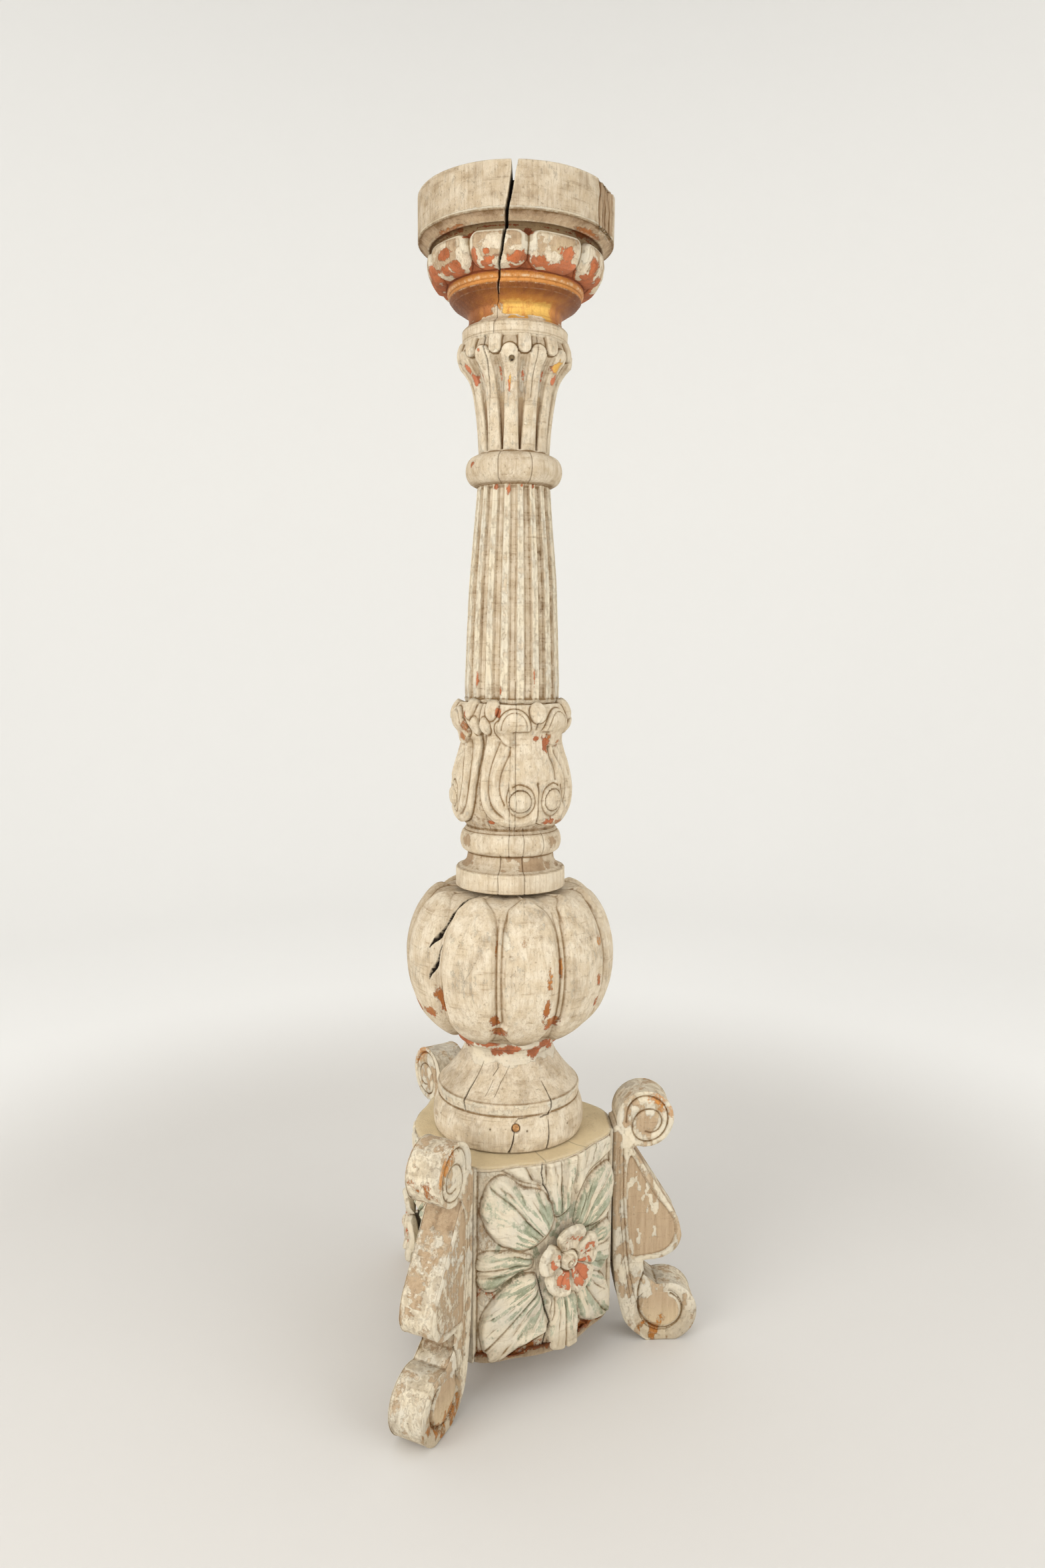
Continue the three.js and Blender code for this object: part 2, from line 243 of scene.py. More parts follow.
def mark_hollows(mesh, rounds=8):
    """Stores how far each point lies below the surface round it: 0.5 level, 1 deep, 0 proud."""
    count = len(mesh.vertices)
    points = np.empty(count * 3, np.float32)
    mesh.vertices.foreach_get("co", points)
    points = points.reshape(-1, 3) / MM
    normals = np.empty(count * 3, np.float32)
    mesh.vertices.foreach_get("normal", normals)
    edges = np.empty(len(mesh.edges) * 2, np.int32)
    mesh.edges.foreach_get("vertices", edges)
    a, b = edges.reshape(-1, 2).T
    degree = np.maximum(np.bincount(a, minlength=count) + np.bincount(b, minlength=count), 1)
    level = points.copy()
    for _ in range(rounds):
        total = np.stack([np.bincount(a, level[b, k], count) + np.bincount(b, level[a, k], count)
                          for k in range(3)], 1)
        level = (level + total / degree[:, None]) / 2
    below = np.einsum("ij,ij->i", level - points, normals.reshape(-1, 3))
    attribute = mesh.attributes.new("hollow", "FLOAT", "POINT")
    attribute.data.foreach_set("value", np.clip(0.5 + below * 1.6, 0, 1).astype(np.float32))


def finish_piece(mesh, name, material, replaced=()):
    mesh.update()
    mark_hollows(mesh)
    mesh.materials.clear()
    mesh.materials.append(material)
    mesh.shade_smooth()
    piece = bpy.data.objects.new(name, mesh)
    bpy.context.scene.collection.objects.link(piece)
    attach(piece, "root")
    if replaced:
        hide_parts(*replaced)
    return piece


class Outline:
    """Half-section of a turned piece as (radius, height) points, with rows of points along it."""

    def __init__(self, radius, height):
        self.points = [(radius, height)]

    def line(self, radius, height, step=STEP):
        start = np.array(self.points[-1])
        end = np.array((radius, height), float)
        count = max(1, int(round(np.linalg.norm(end - start) / step)))
        self.points += [tuple(start + (end - start) * i / count) for i in range(1, count + 1)]
        return self

    def through(self, *knots, step=STEP):
        dense = np.array(curve([self.points[-1], *knots], 16))
        length = np.concatenate([[0], np.cumsum(np.linalg.norm(np.diff(dense, axis=0), axis=1))])
        count = max(2, int(round(length[-1] / step)))
        at = np.linspace(0, length[-1], count + 1)[1:]
        self.points += list(zip(np.interp(at, length, dense[:, 0]), np.interp(at, length, dense[:, 1])))
        return self


def columns(count, *crowded):
    """Angles round the axis, closer together near each (u, half width, times closer)."""
    u = np.linspace(-180, 180, 7201)
    density = np.ones_like(u)
    for centre, half, times in crowded:
        density += (times - 1) * np.exp(-(((u - centre) / half) ** 4))
    share = np.concatenate([[0], np.cumsum((density[1:] + density[:-1]) / 2)])
    return np.interp(np.arange(count) / count, share / share[-1], u)


class Turned:
    """A turned piece's points as rows along its outline and columns round its axis."""

    def __init__(self, outline, angles, closed=False):
        rows = np.array(outline.points)
        if closed:
            rows = rows[:-1]
        self.closed = closed
        self.u, self.z = np.meshgrid(angles, rows[:, 1])
        self.r = np.repeat(rows[:, :1], len(angles), 1)
        before = np.roll(rows, 1, 0) if closed else np.vstack([rows[:1], rows[:-1]])
        after = np.roll(rows, -1, 0) if closed else np.vstack([rows[1:], rows[-1:]])
        along = after - before
        along /= np.maximum(np.linalg.norm(along, axis=1, keepdims=True), 1e-9)
        self.out_r = np.repeat(along[:, 1:], len(angles), 1)
        self.out_z = np.repeat(-along[:, :1], len(angles), 1)
        self.arc = np.radians(1) * np.maximum(self.r, 1)
        self.coat = Coat(self.u.shape)
        self.outside = self.r > 0  # each piece narrows this to the points that can be seen
        self.ragged = None
        self.place()

    def place(self):
        turn = np.radians(self.u + FRONT)
        self.points = np.stack([self.r * np.cos(turn), self.r * np.sin(turn), self.z], -1)

    def raise_by(self, relief):
        """Moves the points along the outline's normal."""
        self.r = self.r + self.out_r * relief
        self.z = self.z + self.out_z * relief
        self.place()

    def mesh(self, name):
        rows, cols = self.u.shape
        index = np.arange(rows * cols).reshape(rows, cols)
        below = index if self.closed else index[:-1]
        above = np.roll(index, -1, 0) if self.closed else index[1:]
        quads = np.stack([below, np.roll(below, -1, 1), np.roll(above, -1, 1), above], -1)
        faces = quads.reshape(-1, 4).tolist()
        if not self.closed:
            faces += [index[0, ::-1].tolist(), index[-1].tolist()]
        mesh = bpy.data.meshes.new(name)
        mesh.from_pydata((self.points.reshape(-1, 3) * MM).tolist(), [], faces)
        self.coat.store(mesh)
        return mesh


def patch(s, u, z, wide, high):
    """An oval patch on a turned piece that thins out towards its edge."""
    if s.ragged is None:
        s.ragged = NOISE.layered(s.points, 8) * 0.5 + NOISE.layered(s.points + 50, (2.6, 2.6, 4)) * 0.5
    away = np.hypot(wrap(s.u - u) / wide, (s.z - z) / high)
    return np.clip(1.75 - away - s.ragged, 0, 1)


def cover_spots(s, layer, amount, spots, where=1):
    """Covers a layer in patches, each (u, height, half width, half height)."""
    for spot in spots:
        s.coat.cover(layer, amount * patch(s, *spot) * where)


def weather(s, amount=0.35):
    """Uneven hand work and shrinkage over a whole piece, in millimetres."""
    slow = NOISE.layered(s.points, 45) - 0.5
    quick = NOISE.layered(s.points + 90, (5, 5, 16)) - 0.5
    return amount * 2.2 * slow + amount * 0.5 * quick


# ------------------------------------------------------------------ pan

GADROONS = 9
GADROON_VALLEY = 8.0  # u of one valley between gadroons


def pan_outline():
    tenon = 13
    return (Outline(0, STEM_TOP + GAP - 50)
            .line(tenon, STEM_TOP + GAP - 50, 4).line(tenon, STEM_TOP + GAP, 5)
            .line(39.5, STEM_TOP + GAP, 3).line(39.7, 804.6)
            .through((38.6, 805.8), (36, 808), (34.7, 812.5), (36, 817.5), (41, 820.6), (47, 824.5))
            .line(49.4, 827.5, FINE).line(49.6, 830.4, FINE)
            .through((53, 831.8), (58.6, 836), (62.8, 842), (65.4, 849), (65.2, 856), (63.0, 860.6),
                     step=FINE)
            .through((65, 862.4), (70.5, 866.4)).line(72.6, 867.6, FINE)
            .line(PAN_RADIUS, 898.6, 1.1).line(PAN_RADIUS - 1, PAN_TOP, FINE)
            .line(65, PAN_TOP, 1).line(63, RECESS_FLOOR, 1.2)
            .line(9, RECESS_FLOOR, 3).line(9, RECESS_FLOOR - 1).line(3.3, RECESS_FLOOR - 1, 2)
            .line(3.3, RECESS_FLOOR - 34, 4).line(0, RECESS_FLOOR - 34, 3))


def inside_rounded(x, y, half_wide, half_high, corner):
    """Millimetres inside a rectangle with round corners, centred on 0, 0."""
    qx = np.abs(x) - (half_wide - corner)
    qy = np.abs(y) - (half_high - corner)
    outside = np.hypot(np.maximum(qx, 0), np.maximum(qy, 0))
    return corner - outside - np.minimum(np.maximum(qx, qy), 0)


def gadroon_relief(s):
    """Cushions with a rolled rim round a flat middle, and sharp valleys between them."""
    lobe = 360 / GADROONS
    v = wrap(s.u - GADROON_VALLEY - lobe / 2, lobe)  # degrees from the middle of a gadroon
    hand = 0.8 * (NOISE(s.points, 14) - 0.5)
    inside = inside_rounded(v * s.arc, s.z - 846.6, lobe / 2 * s.arc + 0.3, 15.0, 9.0) + hand
    in_ring = band(s.z, 832, 860.6, 1.5)
    body = 4.9 * np.clip(inside / 5.4, 0, 1) ** 0.8 - 4.7
    roll = 0.25 * hump(inside - 5.2, 3.0) * ramp(s.z, 840, 850)
    dip = hump(inside - 6.4, 1.2) * ramp(s.z, 846, 852)
    facet = ramp(inside, 4.2, 6.6)
    valley = 1 - ramp(inside, -0.2, 1.6)
    # Painted shade: a dark line under the rolled rim and a dark smudge at each gadroon's upper right.
    corner_shade = hump(np.hypot((v - 11) * s.arc, s.z - 851.5), 3.2)
    shade = 0.5 * hump(inside - 6.2, 1.0) * ramp(s.z, 846, 852) + 0.6 * corner_shade
    return in_ring * (body + roll - 0.35 * dip), valley * in_ring, shade * in_ring, facet * in_ring, in_ring


PAN_CRACK = [(-0.9, 901, 4.2), (-1.9, 891, 2.6), (-3.6, 877, 2.3), (-5.9, 864, 2.2), (-7.4, 854, 1.9),
             (-9.0, 844, 1.7), (-11.6, 837, 1.5), (-14.0, 829, 1.1), (-16.4, 822, 0.6)]
PAN_CHECK = [(-16.4, 822, 0.6), (-18.4, 819, 0.5), (-21.7, 816.5, 0.45), (-22, 812, 0.4),
             (-20.7, 806, 0.4), (-23, 803, 0.5), (-23.3, 796, 0.5)]


# Where the gadroons have lost their gesso down to the red ground, as patches.
PAN_RED = [(-74, 842, 12, 9), (-52, 848, 9, 5), (-44, 838, 7, 5), (-19, 844, 3.0, 2.6), (-28, 842, 4, 7),
           (3, 841, 6, 5), (34, 845, 8, 6), (38, 838, 12, 4), (62, 845, 9, 6), (78, 838, 12, 7),
           (-8, 860.5, 18, 1.0), (8, 857, 5, 3), (-32, 857, 5, 3)]


def broken_flat(s, drum):
    """Where the drum's right side has broken away along the grain, and its splinters."""
    start = 50 + 5 * (NOISE(s.points, 9) - 0.5)
    broken = ramp(s.u, start, start + 5) * (1 - ramp(s.u, 74, 80)) * drum * (s.r > 70)
    splinters = NOISE.layered(s.points, (2.6, 2.6, 18), 4) - 0.5
    return broken, splinters


def paint_gadroons(s, n, valley, facet, in_ring):
    """Chalky rims and bare flats above, chipped down to the red ground below."""
    coat = s.coat
    low_half = ramp(846 - s.z, 0, 8)
    coat.cover("bare", (0.36 + 0.3 * ramp(n, 0.45, 0.6)) * facet * in_ring)
    coat.cover("chalk", in_ring * (1 - facet) * 0.52 * ramp(s.z, 840, 850) + 0.3 * in_ring)
    coat.cover("bole", in_ring * low_half * (0.16 + 0.55 * ramp(n, 0.40, 0.62)) + 0.8 * valley * low_half)
    cover_spots(s, "bole", 0.9, PAN_RED)
    coat.add("tone", 0.5 * patch(s, 36, 843, 14, 9) + 0.45 * band(s.z, 828, 834, 1))


def paint_cove(s, n, cove):
    """Gold on the ring and the cove, rubbed bright in front and worn away at the foot."""
    coat = s.coat
    coat.cover("gold", 0.9 * band(s.z, 827.8, 834.0, 0.8) * (0.5 + 1.1 * n))
    coat.cover("gold", cove * 0.95)
    streaks = NOISE.layered(s.points + 140, (3, 3, 14))
    rubbed = band(s.u, -10, 40, 20) * band(s.z, 806, 816, 8)
    coat.add("tone", cove * (0.7 * streaks - 0.22 + 0.80 * rubbed))
    bare_foot = patch(s, -22, 810, 11, 8) + 0.9 * band(s.z, 805, 809, 1.5) * (n < 0.5)
    coat.clear("gold", cove * bare_foot)


def paint_slope(s, n):
    """Bare wood under the drum, with gold left in its upper corner."""
    coat = s.coat
    slope = band(s.z, 861.4, 866.8, 0.8)
    coat.cover("bare", slope * 0.95)
    coat.cover("gold", slope * (0.62 * patch(s, 50, 863, 22, 3) + 0.62 * patch(s, -48, 862.5, 30, 2.4)))
    coat.add("grime_and_shade", slope * 0.25 * ramp(n, 0.4, 0.65))
    coat.cover("bole", 0.6 * hump(s.z - 861.2, 0.8) * (s.r > 55))


def make_pan(material):
    s = Turned(pan_outline(), columns(620, (-9, 14, 2.6)))
    s.outside = s.r > 33
    relief, valley, roll_shade, facet, in_ring = gadroon_relief(s)
    drum = band(s.z, 866, 899, 1.5)
    broken, splinters = broken_flat(s, drum)
    lost = 2.6 * np.sin(np.pi * np.clip((s.u - 50) / 30, 0, 1)) + 3.0 * splinters
    opened = crack(PAN_CRACK, s.u, s.z, s.arc) * (s.r > 34)
    in_rim = opened * (s.z > RECESS_FLOOR)
    check = crack(PAN_CHECK, s.u, s.z, s.arc) * s.outside
    s.raise_by(relief + weather(s) * s.outside - broken * lost - 0.8 * check)
    s.r = s.r - 13 * opened * np.where(s.z > 830, 1, 0.35)
    s.z = s.z - in_rim * (s.z - RECESS_FLOOR)
    s.place()

    coat = s.coat
    n = NOISE.layered(s.points + 40, (9, 9, 7))
    cove = band(s.z, 806.5, 827.5, 1)
    paint_gadroons(s, n, valley, facet, in_ring)
    paint_cove(s, n, cove)
    paint_slope(s, n)
    coat.cover("bare", broken * (0.8 + 0.6 * splinters))
    coat.cover("bare", 0.55 * patch(s, 60, 884, 12, 12) * drum)
    # Steps of the profile darkened, dirt on the drum, painted shade under the gadroon rims and atop the
    # cove.
    steps = (0.75 * hump(s.z - 867.4, 1.0) + 0.8 * hump(s.z - 804.6, 1.0) + 0.55 * hump(s.z - 797.4, 0.8))
    coat.add("grime_and_shade", 0.55 * valley + 0.8 * roll_shade + steps * s.outside
             + 0.6 * hump(s.z - 861.0, 0.9) * (s.r > 55)
             + drum * (0.24 + 0.28 * ramp(n, 0.45, 0.75)) + 0.15 * ramp(-s.u, 28, 60)
             + 0.8 * broken * ramp(splinters, -0.05, 0.2)
             + 0.85 * ramp(s.z, 815, 826) * cove + 0.35 * cove * ramp(np.abs(s.u - 12), 40, 70))
    coat.cover("chalk", 0.3 * (1 - in_ring) * s.outside)
    coat.cover("chalk", 0.8 * hump(s.z - 868.6, 0.8) * s.outside)
    coat.cover("chalk", 0.9 * patch(s, 12, 834, 8, 3) + 0.8 * patch(s, -20, 834, 6, 2))
    # Painted shade inside the crack and the check.
    coat.cover("dark", np.maximum(ramp(opened, 0, 0.5), 0.6 * check))
    in_recess = ramp(64.5 - s.r, 0, 1) * (s.z > 850)
    coat.add("grime_and_shade", in_recess * (0.25 + 0.5 * n))
    return finish_piece(s.mesh("pan_visual"), "pan_visual", material, ["pan"])


# ------------------------------------------------------------------ stem

FLUTES = 18
RUNG = 5.5  # spacing of the tool marks across a flute
PETALS = 12
PETAL_HOLLOW = 9.7  # u of one hollow between two long petals
FINGER = 6.2  # half width of a petal's round top
TONGUE = 4.9  # half width of a tongue


def stem_outline():
    tenon = 14
    return (Outline(0, STEM_TENON_END)
            .line(tenon, STEM_TENON_END, 5).line(tenon, STEM_BOTTOM, 8).line(42.6, STEM_BOTTOM, 3)
            .line(43.3, STEM_BOTTOM + 0.7, FINE).line(43.2, 399.4).line(42.4, 400.6, FINE)
            .through((38, 402.6), (35, 406), (34.1, 410), (34, 412.6))
            .line(35.2, 413.2, FINE).through((38.4, 415.8), (39.9, 422), (38.4, 428.4), (36.2, 430.4))
            .through((37.6, 433), (42.4, 439), (46.2, 449), (47.4, 460), (46.4, 470), (43.6, 482),
                     (40.4, 492), (38.6, 500), (39.8, 508), (43.8, 514), (44.6, 520), (42.4, 526.5),
                     (38.4, 531.5), (36.3, 533.6))
            .line(36.5, 545).through((35.2, 578), (33.7, 614), (31.5, 644), (29.3, 670), (27.6, 692.4))
            .line(29.5, 693, FINE)
            .through((33.6, 695.4), (36, 699.4), (36.8, 704.2), (36, 709), (33.4, 713), (29, 715.4))
            .line(26.2, 716, FINE)
            .through((26.6, 722), (27.6, 737), (29.2, 750), (31.2, 762), (33.8, 770), (37.6, 776),
                     (40.9, 780), (42.4, 785), (42.1, 790), (40.4, 794.6))
            .line(39.8, STEM_TOP, FINE).line(13.3, STEM_TOP, 4).line(13.3, STEM_TOP - 51, 8)
            .line(0, STEM_TOP - 51, 5))


def flute_relief(s):
    """Hollow flutes between flat fillets, dying into rounded feet above the acanthus leaves."""
    pitch = 360 / FLUTES
    v = wrap(s.u, pitch)
    across = np.abs(v) * s.arc
    half = 0.27 * pitch * s.arc  # half the width of a flute
    wavy = 0.35 * (NOISE(s.points, (12, 12, 40)) - 0.5)
    hollow = 1 - ramp(across + wavy, half * 0.55, half * 1.20)
    along = ramp(s.z, 529, 536) * (1 - ramp(s.z, 690.5, 692.5))
    lip = 0.3 * hump(across - half * 1.30, 0.9) - 0.25 * hump(across - half * 1.75, 0.6)
    # Tool marks cross the flutes like the rungs of a ladder, out of step from one flute to the next.
    flute = np.round(s.u / pitch)
    rung = hump(wrap(s.z + 7.3 * flute + 5 * NOISE(s.points, 11), RUNG), 0.6) * hollow * along
    rung = rung * ramp(NOISE(s.points + 200, (22, 22, 14)), 0.35, 0.6)
    relief = along * (-2.1 * hollow + lip) - 0.10 * rung
    return relief, hollow * along, along, rung


def capital_relief(s):
    """Twelve long petals with round tops, and a short tongue hanging over each hollow."""
    pitch = 360 / PETALS
    drift = 1.2 * (NOISE(s.points, (14, 14, 30)) - 0.5)
    v = wrap(s.u - PETAL_HOLLOW + drift, pitch)  # 0 in the middle of a hollow
    side = np.abs(v) * s.arc
    half = pitch / 2 * s.arc
    from_ridge = np.clip((half - side) / half, 0, 1)
    zone = band(s.z, 717.5, 794.8, 0.8)
    wide = np.interp(s.z, [718, 732, 745, 760, 772, 790], [0.6, 1.4, 2.0, 2.7, 3.8, 4.5])
    groove = 1 - ramp(side, wide * 0.45, wide * 1.15 + 0.4)
    top = 788.5 - FINGER + np.sqrt(np.clip(FINGER**2 - (half - side) ** 2, 0, None))
    petal = 1 - ramp(s.z, top - 0.9, top + 0.8)
    tongue_low = 781.5 + TONGUE - np.sqrt(np.clip(TONGUE**2 - side**2, 0, None))
    tongue = (1 - ramp(side, TONGUE - 0.4, TONGUE + 0.3)) * ramp(s.z, tongue_low - 0.4, tongue_low + 0.7)
    crown = 1.5 * (1 - from_ridge**2)
    relief = -1.6 + petal * (0.8 + crown - 2.2 * groove)
    relief = np.where(tongue > 0, relief + (1.0 + 0.5 * hump(side, 3) - relief) * tongue, relief)
    # Painted shade lines at the petal tops, round the tongues and beside the grooves; also cut a little into
    # the relief.
    edge = hump(s.z - top - 0.5, 0.9) * (side > 4.6)
    edge = np.maximum(edge, hump(s.z - tongue_low + 0.5, 0.9) * (side < 5.2))
    edge = np.maximum(edge, 0.85 * hump(side - TONGUE - 0.2, 0.7) * (s.z > 785))
    edge = np.maximum(edge, 0.75 * hump(side - wide, 0.8) * petal * (s.z < 781))
    hollow = np.clip(groove * petal + (1 - petal), 0, 1) * (1 - tongue)
    return zone * relief, zone * hollow, zone * np.clip(edge, 0, 1), zone


SCROLL_AXIS = 26.5  # u of the plane between two facing scrolls of the acanthus
ACANTHUS_GROUND = -2.6
# Paths of the leaf strands beside that plane, as (degrees from it, height).
STRANDS = [
    [(0, 447), (10, 442.5), (24, 440.5), (38, 443.5), (47, 449.5), (52, 459), (53.5, 475), (53, 491),
     (50, 504)],
    [(36, 445.5), (44, 452), (48, 462), (48.5, 475), (46, 488), (40.5, 500)],
    [(26, 443.5), (36, 448.5), (41.5, 457), (43, 468), (41, 480), (35.5, 491), (29, 501)],
    [(33, 455), (37, 463), (37.5, 473), (34, 483.5), (28, 493)],
    [(31, 470), (32.5, 478), (28, 488), (22, 497)],
    [(22, 473), (22.5, 483), (17, 496)],
    [(10, 473), (10.5, 484), (7, 498)],
    [(0.5, 470), (0.5, 500)],
]
CURL = [(29, 468), (31, 459), (27.5, 449), (18, 444.5), (8, 448.5), (3.6, 457), (7.5, 466.5), (18, 470.5),
        (25, 468.5)]
LEAF_EDGE = [(0, 440), (10, 437.5), (25, 436), (40, 438.5), (50, 445), (56, 456), (58, 475), (58, 495),
             (55.5, 507), (60, 512), (60, 531), (0, 531)]
LEAF_TIPS = [(38, 511, 4.4, 6.5, 1.5), (54, 513, 4.4, 7.0, 1.5), (24, 512, 12.4, 14.5, 2.0),
             (47, 526.5, 5.2, 9.0, 2.0), (0, 523.5, 7.0, 7.6, 2.5)]  # with half sizes and rise


def acanthus_relief(s):
    """Three pairs of C scrolls with round eyes, leaf strands rising from them and lobed tips."""
    v = wrap(s.u - SCROLL_AXIS, 120)
    hand = 1.6 * (NOISE(s.points, (18, 18, 24)) - 0.5)
    m = np.abs(v) + hand * 0.6  # each pair of scrolls mirrors about its own axis
    z = s.z + hand
    zone = band(s.z, 432, 532, 1.0)
    worn = ramp(23 - np.abs(wrap(s.u - 22)), -1, 4) * band(s.z, 473, 509, 3)
    # Every other strand is a ridge and the ones between are cut.
    ridge, cut = (np.min([near(curve(strand, 4), m, z, s.arc)[0] for strand in STRANDS[first::2]], axis=0)
                  for first in (0, 1))
    curl = near(curve(CURL, 5), m, z, s.arc)[0]
    eye = np.hypot((m - 18) * s.arc, z - 457.5)
    cuts = np.minimum(cut, curl)
    cuts = np.where(eye < 9.2, np.abs(eye - 8.8), cuts)
    inside = depth_inside(curve(LEAF_EDGE[:9], 4) + LEAF_EDGE[9:], m, z, s.arc)
    leaf = ramp(inside, -0.4, 1.4)
    relief = ACANTHUS_GROUND + leaf * (1.2 + 1.8 * smooth(cuts / 4.4) + 0.8 * hump(ridge, 2.2) * (eye > 9))
    # Painted shade lines along the cuts and round the outline, the lobed tips and the worn flat; also cut a
    # little into the relief.
    line = (0.25 + 0.6 * NOISE(s.points + 9, 13)) * (1 - ramp(cuts, 0.15, 0.9)) * (inside > 0)
    line = np.maximum(line, 0.55 * hump(inside + 0.4, 0.8))
    dome = np.clip(1 - (eye / 8.8) ** 2, 0, 1)
    relief = relief + (eye < 8.8) * 1.5 * np.sqrt(dome)
    # Lobed tips curl outwards under the shaft, with round tongues between them.
    for at, height, wide, high, rise in LEAF_TIPS:
        away = np.hypot((m - at) * s.arc / wide, (z - height) / high)
        size = min(wide, high)
        lobe = 1 - ramp(away, 1 - 1.2 / size, 1 + 0.3 / size)
        relief = relief + lobe * (0.5 + rise + 0.7 * (1 - away**2) - relief)
        rim = hump((away - 1) * size - 0.4, 0.8)
        line = np.where(lobe > 0.6, 0, line)
        line = np.maximum(line, 0.85 * rim * (z > 503))
    second_rim = hump((np.hypot((m - 24) * s.arc / 9.4, (z - 512) / 11.4) - 1) * 9, 0.7) * (z > 512)
    relief = relief - 0.5 * second_rim
    line = np.maximum(line, 0.6 * second_rim)
    flat = 0.5 - 0.56 * ((s.z - 490) / 22) ** 2
    relief = relief * (1 - worn) + worn * flat
    worn_edge = hump((23.4 - np.abs(wrap(s.u - 22) + hand)) * s.arc, 0.9) * band(s.z, 474, 506, 2)
    line = np.maximum(line * (1 - worn), 0.8 * worn_edge)
    hollow = ramp(-relief, 1.0, 2.4)
    return zone * relief, zone * np.clip(line, 0, 1), zone * hollow, zone


# Fine cracks along the grain, as (u, low, high, width).
STEM_CHECKS = [(-12.7, 386, 413, 0.5), (14.8, 386, 432, 0.5), (-68, 386, 400, 0.5), (-19.3, 694, 714, 0.55),
               (21.6, 694, 714, 0.45), (4.2, 432, 545, 0.45), (-2, 414, 470, 0.4), (-26, 433, 445, 0.35),
               (40, 414, 431, 0.4), (78, 386, 402, 1.6), (128, 386, 430, 0.6), (-140, 386, 428, 0.5),
               (150, 694, 714, 0.5), (-110, 694, 713, 0.5), (23, 755, 795, 0.45)]
STEM_SPLIT = [(-33.5, 797, 1.1), (-33, 788, 0.7), (-29.8, 779, 0.5), (-34, 770, 0.5), (-36, 757, 0.4),
              (-38.5, 748, 0.3), (-41, 735, 0.2)]
NAIL_U = -3.5
CAPITAL_NAIL_HEIGHT = 778
STEM_RED = [(-8, 688, 5, 6), (-28, 690, 5, 3), (12, 691, 5, 2.5), (31, 690.5, 4, 3), (-47, 547, 3, 9),
            (27, 552, 2, 12), (-14, 540, 3, 6), (-58, 707, 10, 4), (-52, 522, 5, 5), (-13, 524, 4, 7),
            (51, 775, 10, 7), (57, 768, 8, 7), (-38, 785, 3, 2.5), (-7, 762, 3, 8), (-64, 776, 9, 5),
            (-60, 768, 9, 7), (40, 500, 8, 9), (-22, 440, 7, 3), (42, 441, 14, 4.5), (28, 504, 6, 3)]
STEM_GOLD = [(-53, 513, 9, 9), (-66, 504, 12, 6), (53, 776, 12, 8), (-6, 764, 2.5, 9), (55, 440, 16, 4),
             (44, 505, 5, 4), (60, 500, 9, 6)]
# Steps of the profile where dirt lies, as (height, width).
STEM_STEPS = [(430.8, 0.9), (413, 0.9), (400.6, 0.8), (693, 0.9), (715.6, 0.9), (533.4, 1.0)]


def drying_checks(s, lines):
    """Fine cracks along the grain that wander a little."""
    heights = np.stack([0 * s.z, 0 * s.z, s.z], -1)
    opened = np.zeros(s.u.shape)
    for u, low, high, width in lines:
        drift = 1.2 * (NOISE(heights + u, 9) - 0.5)
        line = hump(wrap(s.u - u - drift) * s.arc, width + 0.15) * band(s.z, low, high, 3)
        opened = np.maximum(opened, line)
    return opened


def paint_shaft(s, n, hollow, shaft, rungs):
    """Dirt and bare wood in the flutes, most on the right where painted shade darkens them, and chalky
    fillets between them.
    """
    coat = s.coat
    fine = NOISE.layered(s.points + 77, (3.5, 3.5, 7))
    # Painted shade: the flutes darken towards the right, turned from the light, on top of their dirt.
    right = ramp(s.u, 12, 40)
    dirty = (0.06 + 0.32 * ramp(fine, 0.35, 0.66)) * (0.6 + 0.7 * right + 0.3 * ramp(-s.u, 30, 50))
    coat.add("grime_and_shade", hollow * dirty + 0.42 * hump(hollow - 0.5, 0.3) * shaft + 0.14 * rungs)
    coat.add("bare", hollow * (0.28 * ramp(n, 0.3, 0.7) + 0.15 * right * ramp(fine, 0.4, 0.6)))
    coat.add("chalk", shaft * (1 - hollow) * (0.30 + 0.5 * fine))


def paint_capital(s, hollow, edge, zone):
    """Petals worn to red along their middles, brown wood between them lower down."""
    coat = s.coat
    # Painted shade along the petal tops, tongue outlines and groove edges; the hollows are darkened too.
    coat.add("grime_and_shade", 0.6 * edge + 0.32 * hollow)
    for u in (-50, -19.7, 10, 38, 70):
        coat.cover("chalk", 0.80 * patch(s, u, 767, 5.5, 13) * zone)
        coat.cover("bole", 0.52 * patch(s, u + 1, 768, 4.5, 9) * zone)
    coat.add("tone", 0.8 * zone * ramp(s.z, 745, 760))
    coat.cover("bare", hollow * 0.9 * (1 - ramp(s.z, 745, 765)) + 0.35 * hollow * (s.z > 782))
    coat.add("chalk", 0.35 * zone * (1 - hollow))


def paint_vase(s, line, hollow, zone):
    coat = s.coat
    # Painted shade along the leaf lines; the deep ground is darkened and bared.
    coat.add("grime_and_shade", 0.50 * line + 0.25 * hollow)
    coat.cover("bare", 0.4 * hollow)
    coat.add("chalk", 0.32 * zone)


def paint_foot(s, n):
    """The torus is worn bare at its sides, and the neck under it in flakes."""
    coat = s.coat
    for z, width in STEM_STEPS:
        coat.add("grime_and_shade", 0.7 * hump(s.z - z, width) * s.outside)
    torus_sides = patch(s, -58, 424, 16, 8) + patch(s, 55, 424, 14, 7)
    coat.cover("bare", 0.7 * torus_sides)
    coat.add("grime_and_shade", 0.30 * torus_sides)
    neck = band(s.z, 403, 413, 2) * s.outside
    coat.cover("bare", neck * (0.25 + 0.5 * ramp(n, 0.42, 0.6)))
    coat.add("grime_and_shade", 0.25 * neck)


